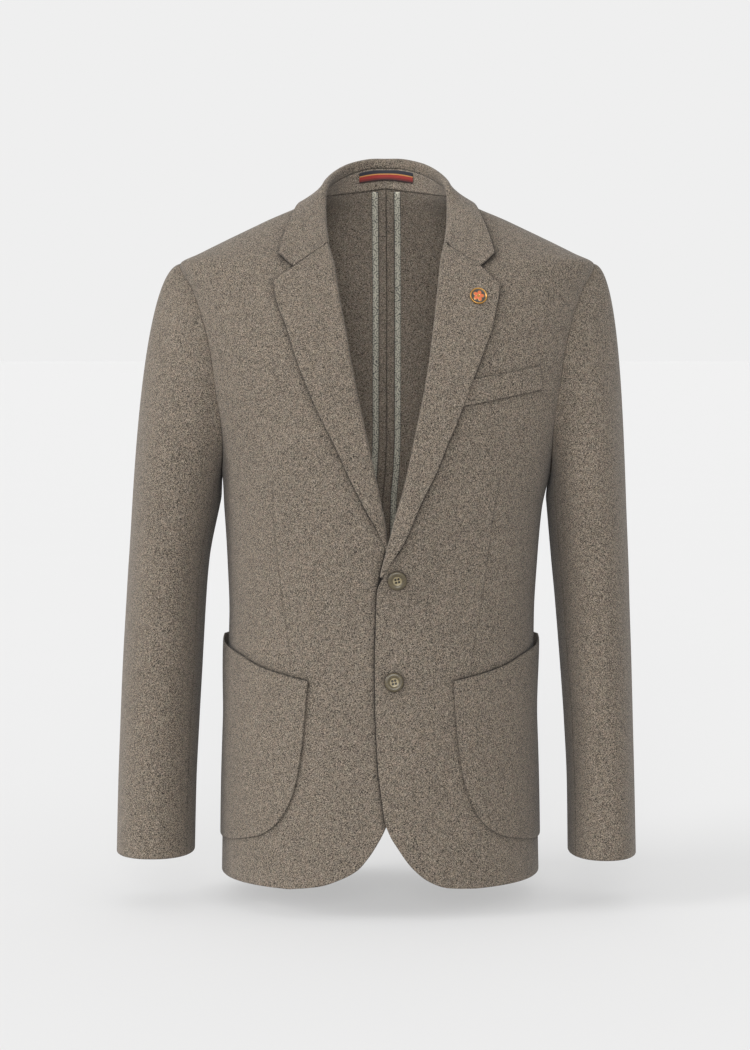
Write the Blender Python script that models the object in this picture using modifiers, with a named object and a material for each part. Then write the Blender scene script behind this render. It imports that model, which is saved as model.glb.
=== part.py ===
"""A two-button knitted blazer in its worn, hollow shape, at its real size.

Metres. X runs across the shoulders, with the wearer's left at +X. The front faces -Y and Z is up.
The origin is the middle of the neck opening, level with the side neck points.
Every panel is an open surface on one body form or one sleeve form, given a wall by Solidify.
"""

import bpy
import numpy as np
from mathutils import Matrix

COLLECTION = "knitted_blazer"

# Cloth and construction, in metres.
CLOTH = 0.0018  # wall of the fulled knit
TURNED = 0.0020  # lapel and collar cloth, pressed double
SEAM_GAP = 0.0004 # between two pieces that are sewn edge to edge
LAP_GAP = 0.0005  # between two layers that lie on each other
FOLD = 0.0028  # radius of a lapel's or the collar's roll, to the middle of its cloth
FOLD_REACH = 0.008  # cloth turned to the inside past the roll
TUCK = 0.0045  # how far a front's raw edge stays behind its roll line
SECTION_POWER = 2.4  # body sections: 2 is an ellipse, more is squarer
SLEEVE_POWER = 2.2
DEG = np.pi / 180

# Body form: level, half width at the side, depth to the front, depth to the back, sideways shift.
BODY = np.array([
    (0.020, 0.0400, 0.0040, 0.0620, 0.0025),
    (0.005, 0.0600, 0.0060, 0.0705, 0.0025),
    (-0.008, 0.0715, 0.0100, 0.0780, 0.0025),
    (-0.036, 0.1310, 0.0360, 0.0920, 0.0030),
    (-0.0695, 0.2000, 0.0660, 0.1040, 0.0032),
    (-0.0805, 0.2205, 0.0740, 0.1070, 0.0033),
    (-0.107, 0.2125, 0.0890, 0.1130, 0.0035),
    (-0.151, 0.2062, 0.1070, 0.1205, 0.0035),
    (-0.206, 0.1985, 0.1210, 0.1260, 0.0035),
    (-0.264, 0.1835, 0.1290, 0.1270, 0.0035),
    (-0.305, 0.1745, 0.1310, 0.1250, 0.0020),
    (-0.342, 0.1694, 0.1300, 0.1220, -0.0010),
    (-0.398, 0.1654, 0.1260, 0.1150, -0.0018),
    (-0.455, 0.1630, 0.1240, 0.1090, -0.0025),
    (-0.551, 0.1655, 0.1280, 0.1170, -0.0042),
    (-0.639, 0.1685, 0.1330, 0.1280, -0.0042),
    (-0.740, 0.1708, 0.1380, 0.1360, -0.0040),
])

# Shoulder, armhole and seams.
NECK_SIDE_Z = -0.008
NAPE_Z = 0.005
TIP_Z = -0.0805
UNDERARM_Z = -0.305
ARMHOLE_FRONT = 29 * DEG  # how far round the body the armhole reaches
ARMHOLE_BACK = 27 * DEG
FRONT_SEAM = (11 * DEG, 8 * DEG)  # front to side panel, at the underarm and at the hem
BACK_SEAM = (-22 * DEG, -20 * DEG)
SIDE_HEM_Z = -0.7330
BACK_HEM_Z = -0.7170

# Roll line, front edge and cutaway, from the gorge down: distance from the body's middle, level.
RIGHT_EDGE = np.array([
    (0.0612, -0.061), (0.0558, -0.079), (0.0506, -0.112), (0.0442, -0.145), (0.0338, -0.202),
    (0.0182, -0.2737), (0.0081, -0.3117), (-0.0017, -0.3458), (-0.0052, -0.3697), (-0.0105, -0.390),
    (-0.0165, -0.415), (-0.0200, -0.450), (-0.0200, -0.560), (-0.0165, -0.612), (-0.0120, -0.645),
    (-0.0059, -0.6656), (0.0048, -0.686), (0.0129, -0.698), (0.0240, -0.7105), (0.0420, -0.7205),
    (0.0628, -0.7280), (0.0944, -0.7328),
])
LEFT_EDGE = np.array([
    (0.0592, -0.061), (0.0550, -0.079), (0.0512, -0.112), (0.0467, -0.1506), (0.0393, -0.202),
    (0.0249, -0.2736), (0.0158, -0.325), (0.0052, -0.3695), (0.0002, -0.3893), (-0.0027, -0.4028),
    (-0.0056, -0.4205), (-0.0064, -0.450), (-0.0067, -0.481), (-0.0056, -0.5326), (-0.0024, -0.6051),
    (0.0007, -0.631), (0.0048, -0.6600), (0.0105, -0.6750), (0.0172, -0.6860), (0.0320, -0.7070),
    (0.0504, -0.7225), (0.0700, -0.7300), (0.0987, -0.7325),
])
# The front's neck edge under the collar, from the side neck point to the gorge.
NECK_EDGE = np.array([
    (0.0735, -0.0115), (0.0725, -0.022), (0.0708, -0.038), (0.0688, -0.052), (0.0642, -0.061)])

# Outer edge of each lapel, from its corner down.
RIGHT_LAPEL = np.array([
    (0.1186, -0.1012), (0.1145, -0.1219), (0.1049, -0.1463), (0.0932, -0.1820), (0.0757, -0.2255),
    (0.0553, -0.2669), (0.0368, -0.3043), (0.0169, -0.3379), (-0.0018, -0.3690)])
LEFT_LAPEL = np.array([
    (0.1158, -0.1050), (0.1145, -0.1178), (0.1125, -0.1260), (0.1074, -0.1493), (0.1006, -0.1677),
    (0.0936, -0.1860), (0.0780, -0.2265), (0.0695, -0.2487), (0.0593, -0.2720), (0.0510, -0.2952),
    (0.0398, -0.3208), (0.0294, -0.3493), (0.0154, -0.3797), (0.0067, -0.3975)])
NOTCH = (0.0968, -0.0862)
LAPEL_LIFT = 0.0026  # how much more a lapel stands off the front at its outer edge

# How far the upper front stands off the form, to pass over the lower one: level, lift.
OVERLAP = np.array([
    (-0.180, 0.0), (-0.280, 0.0020), (-0.340, 0.0062), (-0.370, 0.0086), (-0.400, 0.0074),
    (-0.430, 0.0045), (-0.470, 0.0025), (-0.740, 0.0024)])
OVERLAP_WIDTH = (0.020, 0.085)

# Collar stations from the middle of the back to the gorge: place of the roll, its turn from upright
# to level, and the fall's outer edge as an angle round the body and a level.
ROLL_STATIONS = np.array([
    (0.0000, 0.0715, 0.0386, 0),
    (0.0205, 0.0680, 0.0378, 0),
    (0.0430, 0.0535, 0.0310, 4),
    (0.0585, 0.0280, 0.0185, 16),
    (0.0645, 0.0010, 0.0040, 38),
])
STAND_FOOT = np.array([-90, -71, -50, -27, 0]) * DEG
FALL_EDGE_BACK = np.array([(-90, -0.0090), (-71, -0.0095), (-50, -0.0112), (-27, -0.0145), (0, -0.0193)])
FRONT_ROLL = np.array([(0.0640, -0.0190), (0.0630, -0.0400), (0.0602, -0.0604)])
FRONT_FALL_EDGE = np.array([(0.1015, -0.0390), (0.1080, -0.0560), (0.1128, -0.0735)])
STAND_SEAM_DROP = 0.0075  # below the roll, on the inside

# Sleeves: level, middle, half width, girth, middle's place front to back.
RIGHT_SLEEVE = np.array([
    (-0.333, 0.2240, 0.0457, 0.385, 0.000),
    (-0.398, 0.2330, 0.0417, 0.368, 0.002),
    (-0.4418, 0.2363, 0.0412, 0.358, 0.002),
    (-0.5073, 0.2398, 0.0411, 0.343, -0.003),
    (-0.573, 0.2428, 0.0406, 0.329, -0.010),
    (-0.639, 0.2452, 0.0401, 0.314, -0.019),
    (-0.7090, 0.2462, 0.0400, 0.300, -0.031),
])
LEFT_SLEEVE = np.array([
    (-0.333, 0.2185, 0.0410, 0.385, 0.000),
    (-0.398, 0.2232, 0.0397, 0.368, 0.002),
    (-0.4418, 0.2260, 0.0382, 0.358, 0.002),
    (-0.5073, 0.2295, 0.0365, 0.343, -0.003),
    (-0.573, 0.2324, 0.0350, 0.329, -0.010),
    (-0.639, 0.2344, 0.0342, 0.314, -0.019),
    (-0.7100, 0.2350, 0.0345, 0.300, -0.031),
])
HEAD_PUSH = (0.38, 0.31)  # how strongly the right and the left sleeve head leave the armhole sideways
HEAD_FALL = 1.00  # how strongly it then turns down
UNDER_SLEEVE = (145 * DEG, 245 * DEG)

# Pockets, welt and trims.
POCKET_MOUTH = np.array([(0.0747, -0.5147), (0.1060, -0.5078), (0.1275, -0.5016), (0.1470, -0.4925)])
POCKET_SIDE_Z = -0.4800
POCKET_SIDE = np.array([
    (0.0747, -0.5147), (0.0776, -0.5548), (0.0822, -0.5966), (0.0884, -0.6282), (0.0971, -0.6506),
    (0.1095, -0.6680), (0.1255, -0.6800)])
POCKET_BACK = -9 * DEG
POCKET_FOOT_Z = -0.6910
POCKET_GAPE = 0.0036
POCKET_STANDS_OFF = 0.0012
WELT = np.array([(0.0750, -0.2042), (0.1579, -0.1881), (0.1599, -0.2128), (0.0690, -0.2316)])
WELT_WALL = 0.0014
BUTTONS = {"button_upper": (0.0149, -0.4077), "button_lower": (0.0137, -0.5145)}
BUTTON_RADIUS = 0.0100
BUTTON_HEIGHT = 0.0034
HOLE_RADIUS = 0.0009
HOLE_SPREAD = 0.0019
PIN_PLACE = (0.0932, -0.1180)
PIN_RADIUS = 0.0092
PIN_HEIGHT = 0.0024
LOOP_HALF = 0.0295
LOOP_HEIGHT = 0.0125
LOOP_WALL = 0.0010
LOOP_BOW = 0.0014
TURNING_WIDTH = 0.0088
BINDING_WIDTH = 0.0070
BINDING_WALL = 0.0026

MATERIALS = {
    "melange_knit": ((0.209, 0.178, 0.147), 0.92, 0.0),
    "inner_knit": ((0.150, 0.128, 0.106), 0.94, 0.0),
    "paisley_tape": ((0.395, 0.372, 0.322), 0.80, 0.0),
    "loop_ribbon": ((0.300, 0.035, 0.020), 0.60, 0.0),
    "horn": ((0.120, 0.095, 0.055), 0.40, 0.0),
    "pin_metal": ((0.420, 0.270, 0.090), 0.35, 0.8),
}


# ---------------------------------------------------------------- curves and forms

def along(x, values, at):
    """Smooth values at `at` through rows given at rising x, with no overshoot between two rows."""
    values = np.asarray(values, float)
    flat = values.ndim == 1
    values = values[:, None] if flat else values
    steps = np.diff(x)[:, None]
    rise = np.diff(values, axis=0) / steps
    same = rise[:-1] * rise[1:] > 0
    total = np.where(same, rise[:-1] + rise[1:], 1.0)
    slope = np.vstack([rise[:1], np.where(same, 2 * rise[:-1] * rise[1:] / total, 0.0), rise[-1:]])
    at = np.asarray(at, float)
    i = np.clip(np.searchsorted(x, at.ravel()) - 1, 0, len(x) - 2)
    h = steps[i]
    t = ((at.ravel() - x[i])[:, None]) / h
    out = ((2 * t**3 - 3 * t**2 + 1) * values[i] + (t**3 - 2 * t**2 + t) * h * slope[i]
           + (3 * t**2 - 2 * t**3) * values[i + 1] + (t**3 - t**2) * h * slope[i + 1])
    return out[:, 0].reshape(at.shape) if flat else out.reshape(*at.shape, -1)


def arc_length(points):
    """The share of the whole length at which each point lies, from 0 to 1."""
    lengths = np.linalg.norm(np.diff(points, axis=0), axis=1)
    return np.concatenate([[0.0], np.cumsum(lengths)]) / lengths.sum()


def through(points, at):
    """A smooth curve through points, read at shares of its length."""
    points = np.asarray(points, float)
    return along(arc_length(points), points, at)


def smoothstep(low, high, x):
    t = np.clip((x - low) / (high - low), 0, 1)
    return t * t * (3 - 2 * t)


def unit(vectors):
    return vectors / np.linalg.norm(vectors, axis=-1, keepdims=True)


def body_rows(z):
    """Half width, front depth, back depth and shift of the body form at a level."""
    return np.moveaxis(along(-BODY[:, 0], BODY[:, 1:], -np.asarray(z, float)), -1, 0)


def bare_form(angle, z, side):
    """A point of the body form: a rounded rectangle at each level, angle 0 at the side and 90
    degrees at the middle of the front."""
    width, front, back, shift = body_rows(z)
    c, s = np.cos(angle), np.sin(angle)
    r = (np.abs(c) ** SECTION_POWER + np.abs(s) ** SECTION_POWER) ** (-1 / SECTION_POWER)
    depth = np.where(s >= 0, front, back)
    return np.stack([side * width * r * c + shift, -depth * r * s, z + 0 * angle], -1)


def form_normal(angle, z, side):
    """The form's outward direction, from the cross product of its two tangents."""
    h = 2e-4
    across = bare_form(angle + h, z, side) - bare_form(angle - h, z, side)
    down = bare_form(angle, z + h, side) - bare_form(angle, z - h, side)
    n = unit(np.cross(across, down))
    outward = side * np.cos(angle) * n[..., 0] - np.sin(angle) * n[..., 1]
    return n * np.where(outward < 0, -1.0, 1.0)[..., None]


def body_point(angle, z, side, out=0.0):
    """A point on the body form, moved out along its normal."""
    angle, z = np.broadcast_arrays(np.asarray(angle, float), np.asarray(z, float))
    return bare_form(angle, z, side) + form_normal(angle, z, side) * np.asarray(out)[..., None]


def angle_at(x, z):
    """The angle at which the body form's front has a given distance from its middle."""
    share = np.clip(x / body_rows(z)[0], -1, 1)
    return np.arctan2((1 - np.abs(share) ** SECTION_POWER) ** (1 / SECTION_POWER), share)


def overlap_lift(x, z):
    """How far the upper front stands off at a place, most at its edge near the break."""
    lift = along(-OVERLAP[:, 0], OVERLAP[:, 1], np.clip(-np.asarray(z, float), 0.18, 0.74))
    return lift * (1 - smoothstep(*OVERLAP_WIDTH, np.asarray(x, float)))


def front_point(x, z, side, out=0.0):
    """A point on a front: distance from the middle, level and height above the form."""
    lift = overlap_lift(x, z) if side > 0 else 0.0
    return body_point(angle_at(x, z), z, side, np.asarray(out) + lift)


def front_frame(x, z, side):
    """The place, the outward direction and the way away from the middle on a front's surface."""
    h = 5e-4
    p = front_point(x, z, side)
    away = unit(front_point(x + h, z, side) - front_point(x - h, z, side))
    down = unit(front_point(x, z - h, side) - front_point(x, z + h, side))
    normal = unit(np.cross(down, away)) * side
    return p, normal, away


# ---------------------------------------------------------------- making solids

def clear_scene():
    for item in list(bpy.data.objects):
        bpy.data.objects.remove(item, do_unlink=True)


def make_materials():
    made = {}
    for name, (colour, roughness, metallic) in MATERIALS.items():
        material = bpy.data.materials.new(name)
        material.use_nodes = True
        shader = material.node_tree.nodes["Principled BSDF"]
        shader.inputs["Base Color"].default_value = (*colour, 1)
        shader.inputs["Roughness"].default_value = roughness
        shader.inputs["Metallic"].default_value = metallic
        material.diffuse_color = (*colour, 1)
        made[name] = material
    return made


def new_object(name, vertices, faces, material):
    mesh = bpy.data.meshes.new(name)
    mesh.from_pydata([tuple(v) for v in vertices], [], faces)
    mesh.update()
    mesh.materials.append(material)
    made = bpy.data.objects.new(name, mesh)
    bpy.data.collections[COLLECTION].objects.link(made)
    return made


def pull_in(grid, gap, edges):
    """Moves the named edges of a grid inwards by half a gap: first and last row, first and last column."""
    grid = grid.copy()
    half = gap / 2
    if "top" in edges:
        grid[0] += unit(grid[1] - grid[0]) * half
    if "bottom" in edges:
        grid[-1] += unit(grid[-2] - grid[-1]) * half
    if "first" in edges:
        grid[:, 0] += unit(grid[:, 1] - grid[:, 0]) * half
    if "last" in edges:
        grid[:, -1] += unit(grid[:, -2] - grid[:, -1]) * half
    return grid


def cloth_object(name, grid, outside, wall, material, place=1.0):
    """A sheet of cloth from a grid of points. `outside` is a grid a little further out, which says
    which way it faces. place is 1 where the wall grows outwards and 0 where the grid is its middle."""
    rows, cols = grid.shape[:2]
    first = np.arange(rows * cols).reshape(rows, cols)
    quads = np.stack([first[:-1, :-1], first[1:, :-1], first[1:, 1:], first[:-1, 1:]], -1)
    i, j = rows // 2 - (rows // 2 == rows - 1), cols // 2 - (cols // 2 == cols - 1)
    facing = np.cross(grid[i + 1, j] - grid[i, j], grid[i, j + 1] - grid[i, j])
    if facing @ (outside[i, j] - grid[i, j]) < 0:
        quads = quads[..., ::-1]
    made = new_object(name, grid.reshape(-1, 3), quads.reshape(-1, 4).tolist(), material)
    made.data.shade_smooth()
    shell = made.modifiers.new("wall", "SOLIDIFY")
    shell.thickness = wall
    shell.offset = place
    shell.use_even_offset = False
    shell.use_quality_normals = True
    return made


def between(first, last, share):
    """Rows of a grid that run from one edge to the other."""
    return first[:, None, :] * (1 - share)[None, :, None] + last[:, None, :] * share[None, :, None]


# ---------------------------------------------------------------- body panels

def armhole(turn):
    """The armhole as an angle round the body and a level: turn is 0 at the shoulder, 90 degrees in
    front, 180 at the underarm. It is slim above and scooped out below."""
    turn = np.asarray(turn, float)
    s = np.sin(turn)
    reach = np.where(s >= 0, ARMHOLE_FRONT, -ARMHOLE_BACK)
    power = np.where(np.cos(turn) > 0, np.where(s >= 0, 1.05, 1.0), np.where(s >= 0, 0.75, 0.8))
    middle, half = (TIP_Z + UNDERARM_Z) / 2, (TIP_Z - UNDERARM_Z) / 2
    return np.stack([reach * np.abs(s) ** power, middle + half * np.cos(turn)], -1)


def turn_where(angle, low, high):
    """The armhole's turn, in its lower half, where it lies at an angle round the body."""
    turns = np.linspace(low, high, 2001)
    return turns[np.argmin(np.abs(armhole(turns)[:, 0] - angle))]


FRONT_TURN = turn_where(FRONT_SEAM[0], 100 * DEG, 180 * DEG)
BACK_TURN = turn_where(BACK_SEAM[0], 190 * DEG, 260 * DEG)
SHOULDER_ROWS = 6
ARMHOLE_ROWS = 9
SIDE_ROWS = 11


def ridge(rows, start):
    """The shoulder seam: angle 0, from near the neck to the tip."""
    z = np.linspace(start, TIP_Z, rows)
    return np.stack([0 * z, z], -1)


def side_seam(seam, top):
    """A seam between two panels below the armhole, as angle and level."""
    share = np.linspace(0, 1, SIDE_ROWS + 1)
    angle = seam[0] + (seam[1] - seam[0]) * share
    return np.stack([angle, top + (SIDE_HEM_Z - top) * share], -1)


def closing(count):
    """Shares from a panel's inner to its outer edge that draw closer near both."""
    even = np.linspace(0, 1, count)
    return even - 0.35 * np.sin(2 * np.pi * even) / (2 * np.pi)


def front_panel(side, name, material):
    """One front, from its neck edge, roll line, front edge and cutaway to the shoulder, armhole and
    side seam."""
    edge = LEFT_EDGE if side > 0 else RIGHT_EDGE
    break_z = -0.404 if side > 0 else -0.392
    held = edge.copy()
    held[:, 0] += TUCK * smoothstep(break_z - 0.012, break_z, edge[:, 1])
    held[:3, 0] += (0.0026, 0.0020, 0.0008)
    inner = np.vstack([NECK_EDGE[:-1], held])
    turns = np.linspace(0, FRONT_TURN, ARMHOLE_ROWS + 1)[1:]
    outer = np.vstack([ridge(SHOULDER_ROWS, NECK_SIDE_Z - 0.003), armhole(turns),
                       side_seam(FRONT_SEAM, armhole(FRONT_TURN)[1])[1:]])
    rows = len(outer)
    share = arc_length(inner)
    start_cut = np.interp(0.628, -inner[:, 1], share)
    levels = np.linspace(inner[0, 1], -0.628, rows - 6)
    places = np.concatenate([np.interp(-levels, -inner[:, 1], share), np.linspace(start_cut, 1, 7)[1:]])
    path = through(inner, places)
    angles = angle_at(path[:, 0], path[:, 1])
    grid2 = between(np.stack([angles, path[:, 1]], -1), outer, closing(13))
    x = body_rows(grid2[..., 1])[0] * np.cos(grid2[..., 0]) * (
        np.abs(np.cos(grid2[..., 0])) ** SECTION_POWER
        + np.abs(np.sin(grid2[..., 0])) ** SECTION_POWER) ** (-1 / SECTION_POWER)
    lift = overlap_lift(x, grid2[..., 1]) if side > 0 else 0 * x
    grid = body_point(grid2[..., 0], grid2[..., 1], side, lift)
    outside = body_point(grid2[..., 0], grid2[..., 1], side, lift + 0.001)
    grid = pull_in(grid, SEAM_GAP, ("last",))
    return cloth_object(name, grid, outside, CLOTH, material)


def side_panel(side, name, material):
    """The panel under the arm, from the armhole's foot to the hem."""
    turns = np.linspace(FRONT_TURN, BACK_TURN, 6)
    top = armhole(turns)
    foot_angle = np.linspace(FRONT_SEAM[1], BACK_SEAM[1], len(turns))
    foot = np.stack([foot_angle, np.full(len(turns), SIDE_HEM_Z)], -1)
    share = np.linspace(0, 1, SIDE_ROWS + 1)[:, None, None]
    grid2 = top[None] * (1 - share) + foot[None] * share
    grid = body_point(grid2[..., 0], grid2[..., 1], side)
    outside = body_point(grid2[..., 0], grid2[..., 1], side, 0.001)
    grid = pull_in(grid, SEAM_GAP, ("first", "last"))
    return cloth_object(name, grid, outside, CLOTH, material)


def back_levels():
    """The levels of the back's rows at its middle seam."""
    knots = np.cumsum([0, SHOULDER_ROWS - 1, ARMHOLE_ROWS, SIDE_ROWS])
    return np.interp(np.arange(knots[-1] + 1), knots, [NAPE_Z, -0.090, -0.272, BACK_HEM_Z])


def back_panel(side, name, material):
    """One half of the back, from the seam down its middle to the shoulder, armhole and side."""
    turns = np.linspace(2 * np.pi, BACK_TURN, ARMHOLE_ROWS + 1)[1:]
    outer = np.vstack([ridge(SHOULDER_ROWS, NECK_SIDE_Z - 0.0012), armhole(turns),
                       side_seam(BACK_SEAM, armhole(BACK_TURN)[1])[1:]])
    inner = np.stack([np.full(len(outer), -np.pi / 2), back_levels()], -1)
    grid2 = between(inner, outer, closing(11))
    grid = body_point(grid2[..., 0], grid2[..., 1], side)
    outside = body_point(grid2[..., 0], grid2[..., 1], side, 0.001)
    grid = pull_in(grid, SEAM_GAP, ("first", "last"))
    grid[:SHOULDER_ROWS] = pull_in(grid[:SHOULDER_ROWS], 2 * SEAM_GAP, ("last",))
    return cloth_object(name, grid, outside, CLOTH, material)


# ---------------------------------------------------------------- sleeves

def sleeve_ring(rows, turn, z, side):
    """A level ring of a sleeve: turn 0 is away from the body, 90 degrees is in front. Its depth
    follows from its half width and its girth."""
    middle, half, girth, y = np.moveaxis(along(-rows[:, 0], rows[:, 1:], -z), -1, 0)
    depth = np.sqrt(2 * (girth / (2 * np.pi)) ** 2 - half**2)
    c, s = np.cos(turn), np.sin(turn)
    r = (np.abs(c) ** SLEEVE_POWER + np.abs(s) ** SLEEVE_POWER) ** (-1 / SLEEVE_POWER)
    return np.stack([side * (middle + half * r * c), y - depth * r * s, z + 0 * turn], -1)


def sleeve_grid(side, turns):
    """Points from the armhole over the sleeve head to the cuff, one column for each turn."""
    rows = LEFT_SLEEVE if side > 0 else RIGHT_SLEEVE
    hole = armhole(turns)
    inner = (CLOTH + LAP_GAP) * smoothstep(100, 160, np.abs(np.mod(turns / DEG + 180, 360) - 180))
    start = body_point(hole[:, 0], hole[:, 1], side, CLOTH + 2 * LAP_GAP + inner)
    top, cuff = rows[0, 0], rows[-1, 0]
    end = sleeve_ring(rows, turns, np.full(len(turns), top), side)
    below = sleeve_ring(rows, turns, np.full(len(turns), top - 0.01), side)
    reach = np.linalg.norm(end - start, axis=1, keepdims=True)
    up = np.cos(turns)
    leave = unit(np.stack([side * (0.78 + 0.22 * up), -0.30 * np.sin(turns), -0.45 + 0.33 * up], -1))
    share = np.array([0, 0.05, 0.11, 0.18, 0.27, 0.39, 0.54, 0.76, 1.0])[:, None, None]
    head = ((2 * share**3 - 3 * share**2 + 1) * start
            + (share**3 - 2 * share**2 + share) * HEAD_PUSH[side > 0] * reach * leave
            + (3 * share**2 - 2 * share**3) * end
            + (share**3 - share**2) * HEAD_FALL * reach * unit(below - end))
    levels = np.linspace(top, cuff, 12)[1:]
    tube = sleeve_ring(rows, turns[None, :], levels[:, None] + 0 * turns[None, :], side)
    return np.concatenate([head, tube])


def sleeve_panel(side, under, name, material):
    """The upper or the under sleeve, each the whole way from armhole to cuff."""
    start, end = UNDER_SLEEVE if under else (UNDER_SLEEVE[1] - 2 * np.pi, UNDER_SLEEVE[0])
    turns = np.linspace(start, end, 6 if under else 13)
    grid = sleeve_grid(side, turns)
    centre = sleeve_grid(side, np.linspace(0, 2 * np.pi, 25)[:-1]).mean(axis=1, keepdims=True)
    outside = grid + unit(grid - centre) * 0.001
    grid = pull_in(grid, SEAM_GAP, ("first", "last"))
    return cloth_object(name, grid, outside, CLOTH, material)


# ---------------------------------------------------------------- lapels and collar

def roll_profile(place, normal, away, fold):
    """The half round of cloth over a rolled edge, from its inner to its outer layer. `place` is the
    foremost point of the roll and `away` points from it into the cloth."""
    centre = place + away * (fold + TURNED / 2)
    turns = np.linspace(-np.pi / 2, np.pi / 2, 5)
    return (centre[..., None, :] + fold * (normal[..., None, :] * np.sin(turns)[:, None]
                                           - away[..., None, :] * np.cos(turns)[:, None]))


def lapel_grid(side, rows):
    """One lapel: turned in behind the front, round the roll line and out over the front to its edge."""
    edge = LEFT_EDGE if side > 0 else RIGHT_EDGE
    last = -0.3995 if side > 0 else -0.388
    share = arc_length(edge)
    end = np.interp(-last, -edge[:, 1], share)
    roll = through(edge, np.linspace(0, end, rows))
    outer = through(LEFT_LAPEL if side > 0 else RIGHT_LAPEL, np.linspace(0, 1, rows))
    x, z = roll[:, 0], roll[:, 1]
    _, normal, _ = front_frame(x, z, side)
    middle = front_point(x, z, side, CLOTH / 2)
    tangent = unit(np.gradient(middle, axis=0))
    away = unit(np.cross(tangent, normal))
    away *= np.sign(away[:, :1]) * side
    arc = roll_profile(middle, normal, away, FOLD)
    across = unit(outer - roll)
    across[-4:] = unit(np.array([1.0, 0.35]))
    inner = []
    for reach in (FOLD_REACH, FOLD_REACH / 2):
        at = roll + across * (FOLD + TURNED / 2 + reach)
        inner.append(front_point(at[:, 0], at[:, 1], side, CLOTH / 2 - FOLD))
    start = roll + across * (FOLD + TURNED / 2)
    sheet = []
    for share in (0.14, 0.34, 0.56, 0.78, 1.0):
        at = start + (outer - start) * share
        at[0] = gorge_at(start[0], outer[0], share)
        out = CLOTH / 2 + FOLD + LAPEL_LIFT * share
        sheet.append(front_point(at[:, 0], at[:, 1], side, out))
    return np.concatenate([np.stack(inner, 1), arc, np.stack(sheet, 1)], axis=1)


def gorge_at(start, corner, share):
    """A place on the lapel's top edge, which bends a little at the notch."""
    bend = 0.62
    notch = np.array(NOTCH)
    if share < bend:
        return start + (notch - start) * share / bend
    return notch + (corner - notch) * (share - bend) / (1 - bend)


def lapel(side, name, material):
    grid = lapel_grid(side, 20)
    centre = grid[:, 2:7].mean(axis=1, keepdims=True)
    outside = grid + unit(grid - centre) * 0.001
    grid = pull_in(grid, SEAM_GAP, ("top",))
    return cloth_object(name, grid, outside, TURNED, material, 0.0)


def collar_stations():
    """Profiles of the collar's right half, from the stand's foot up over the roll and down the fall,
    at eight stations from the middle of the back to the gorge."""
    roll = np.vstack([ROLL_STATIONS[:, :3], [[0, 0, 0]] * 3])
    turned = np.concatenate([ROLL_STATIONS[:, 3], [62, 78, 88]]) * DEG
    front = front_point(FRONT_ROLL[:, 0], FRONT_ROLL[:, 1], 1, CLOTH / 2)
    front[:, 0] -= body_rows(FRONT_ROLL[:, 1])[3]
    roll[5:] = front
    tangent = unit(np.gradient(roll, axis=0))
    tangent[0] = (1, 0, 0)
    flat = unit(np.stack([-tangent[:, 1], tangent[:, 0], 0 * tangent[:, 0]], -1))
    flat *= np.where(flat[:, :1] * roll[:, :1] + flat[:, 1:2] * (roll[:, 1:2] + 0.02) < 0, -1.0, 1.0)
    upright = unit(np.cross(flat, tangent))
    upright *= np.where(upright[:, 2:] < 0, -1.0, 1.0)
    crest = np.cos(turned)[:, None] * upright - np.sin(turned)[:, None] * flat
    over = np.sin(turned)[:, None] * upright + np.cos(turned)[:, None] * flat
    over[5:] = front_frame(FRONT_ROLL[:, 0], FRONT_ROLL[:, 1], 1)[1]
    crest[5:] = unit(np.cross(tangent[5:], over[5:]))
    crest[5:] *= np.where(crest[5:, :1] > 0, -1.0, 1.0)
    arc = roll_profile(roll, over, -crest, FOLD)
    foot = roll.copy()
    foot_z = NECK_SIDE_Z + (NAPE_Z - NECK_SIDE_Z) * np.abs(STAND_FOOT) / (np.pi / 2)
    foot[:5] = body_point(STAND_FOOT, foot_z + 0.0016, 1, CLOTH / 2)
    foot[:5, 0] -= body_rows(foot_z)[3]
    foot[4] = arc[4, 0] - crest[4] * 0.0075
    behind = FRONT_ROLL + np.array([FOLD + TURNED / 2 + FOLD_REACH, 0])
    foot[5:] = front_point(behind[:, 0], behind[:, 1], 1, -0.0027)
    foot[5:, 0] -= body_rows(behind[:, 1])[3]
    edge = np.zeros((8, 3))
    back_z = FALL_EDGE_BACK[:, 1]
    edge[:5] = body_point(FALL_EDGE_BACK[:, 0] * DEG, back_z, 1, CLOTH + 0.0024 + TURNED / 2)
    edge[:5, 0] -= body_rows(back_z)[3]
    sheet = np.zeros((8, 7, 3))
    for k, share in enumerate((0.12, 0.28, 0.45, 0.62, 0.75, 0.88, 1.0)):
        start = arc[:5, -1]
        control = start - crest[:5] * 0.35 * np.linalg.norm(edge[:5] - start, axis=1, keepdims=True)
        sheet[:5, k] = (1 - share) ** 2 * start + 2 * share * (1 - share) * control + share**2 * edge[:5]
        begin = FRONT_ROLL + np.array([FOLD + TURNED / 2, 0])
        at = begin + (FRONT_FALL_EDGE - begin) * share
        bend = 0.62
        notch = np.array(NOTCH) + (0.0002, 0.0003)
        if share <= bend:
            at[2] = begin[2] + (notch - begin[2]) * share / bend
        else:
            at[2] = notch + (FRONT_FALL_EDGE[2] - notch) * (share - bend) / (1 - bend)
        out = CLOTH / 2 + FOLD + np.array([0.0031, 0.0029, LAPEL_LIFT]) * share**0.6
        sheet[5:, k] = front_point(at[:, 0], at[:, 1], 1, out)
        sheet[5:, k, 0] -= body_rows(at[:, 1])[3]
    stand = foot[:, None] * np.array([1, 0.66, 0.33])[:, None] + seam_line(arc, crest)[:, None] * (
        np.array([0, 0.34, 0.67])[:, None])
    return stand, seam_line(arc, crest), arc, sheet


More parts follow.
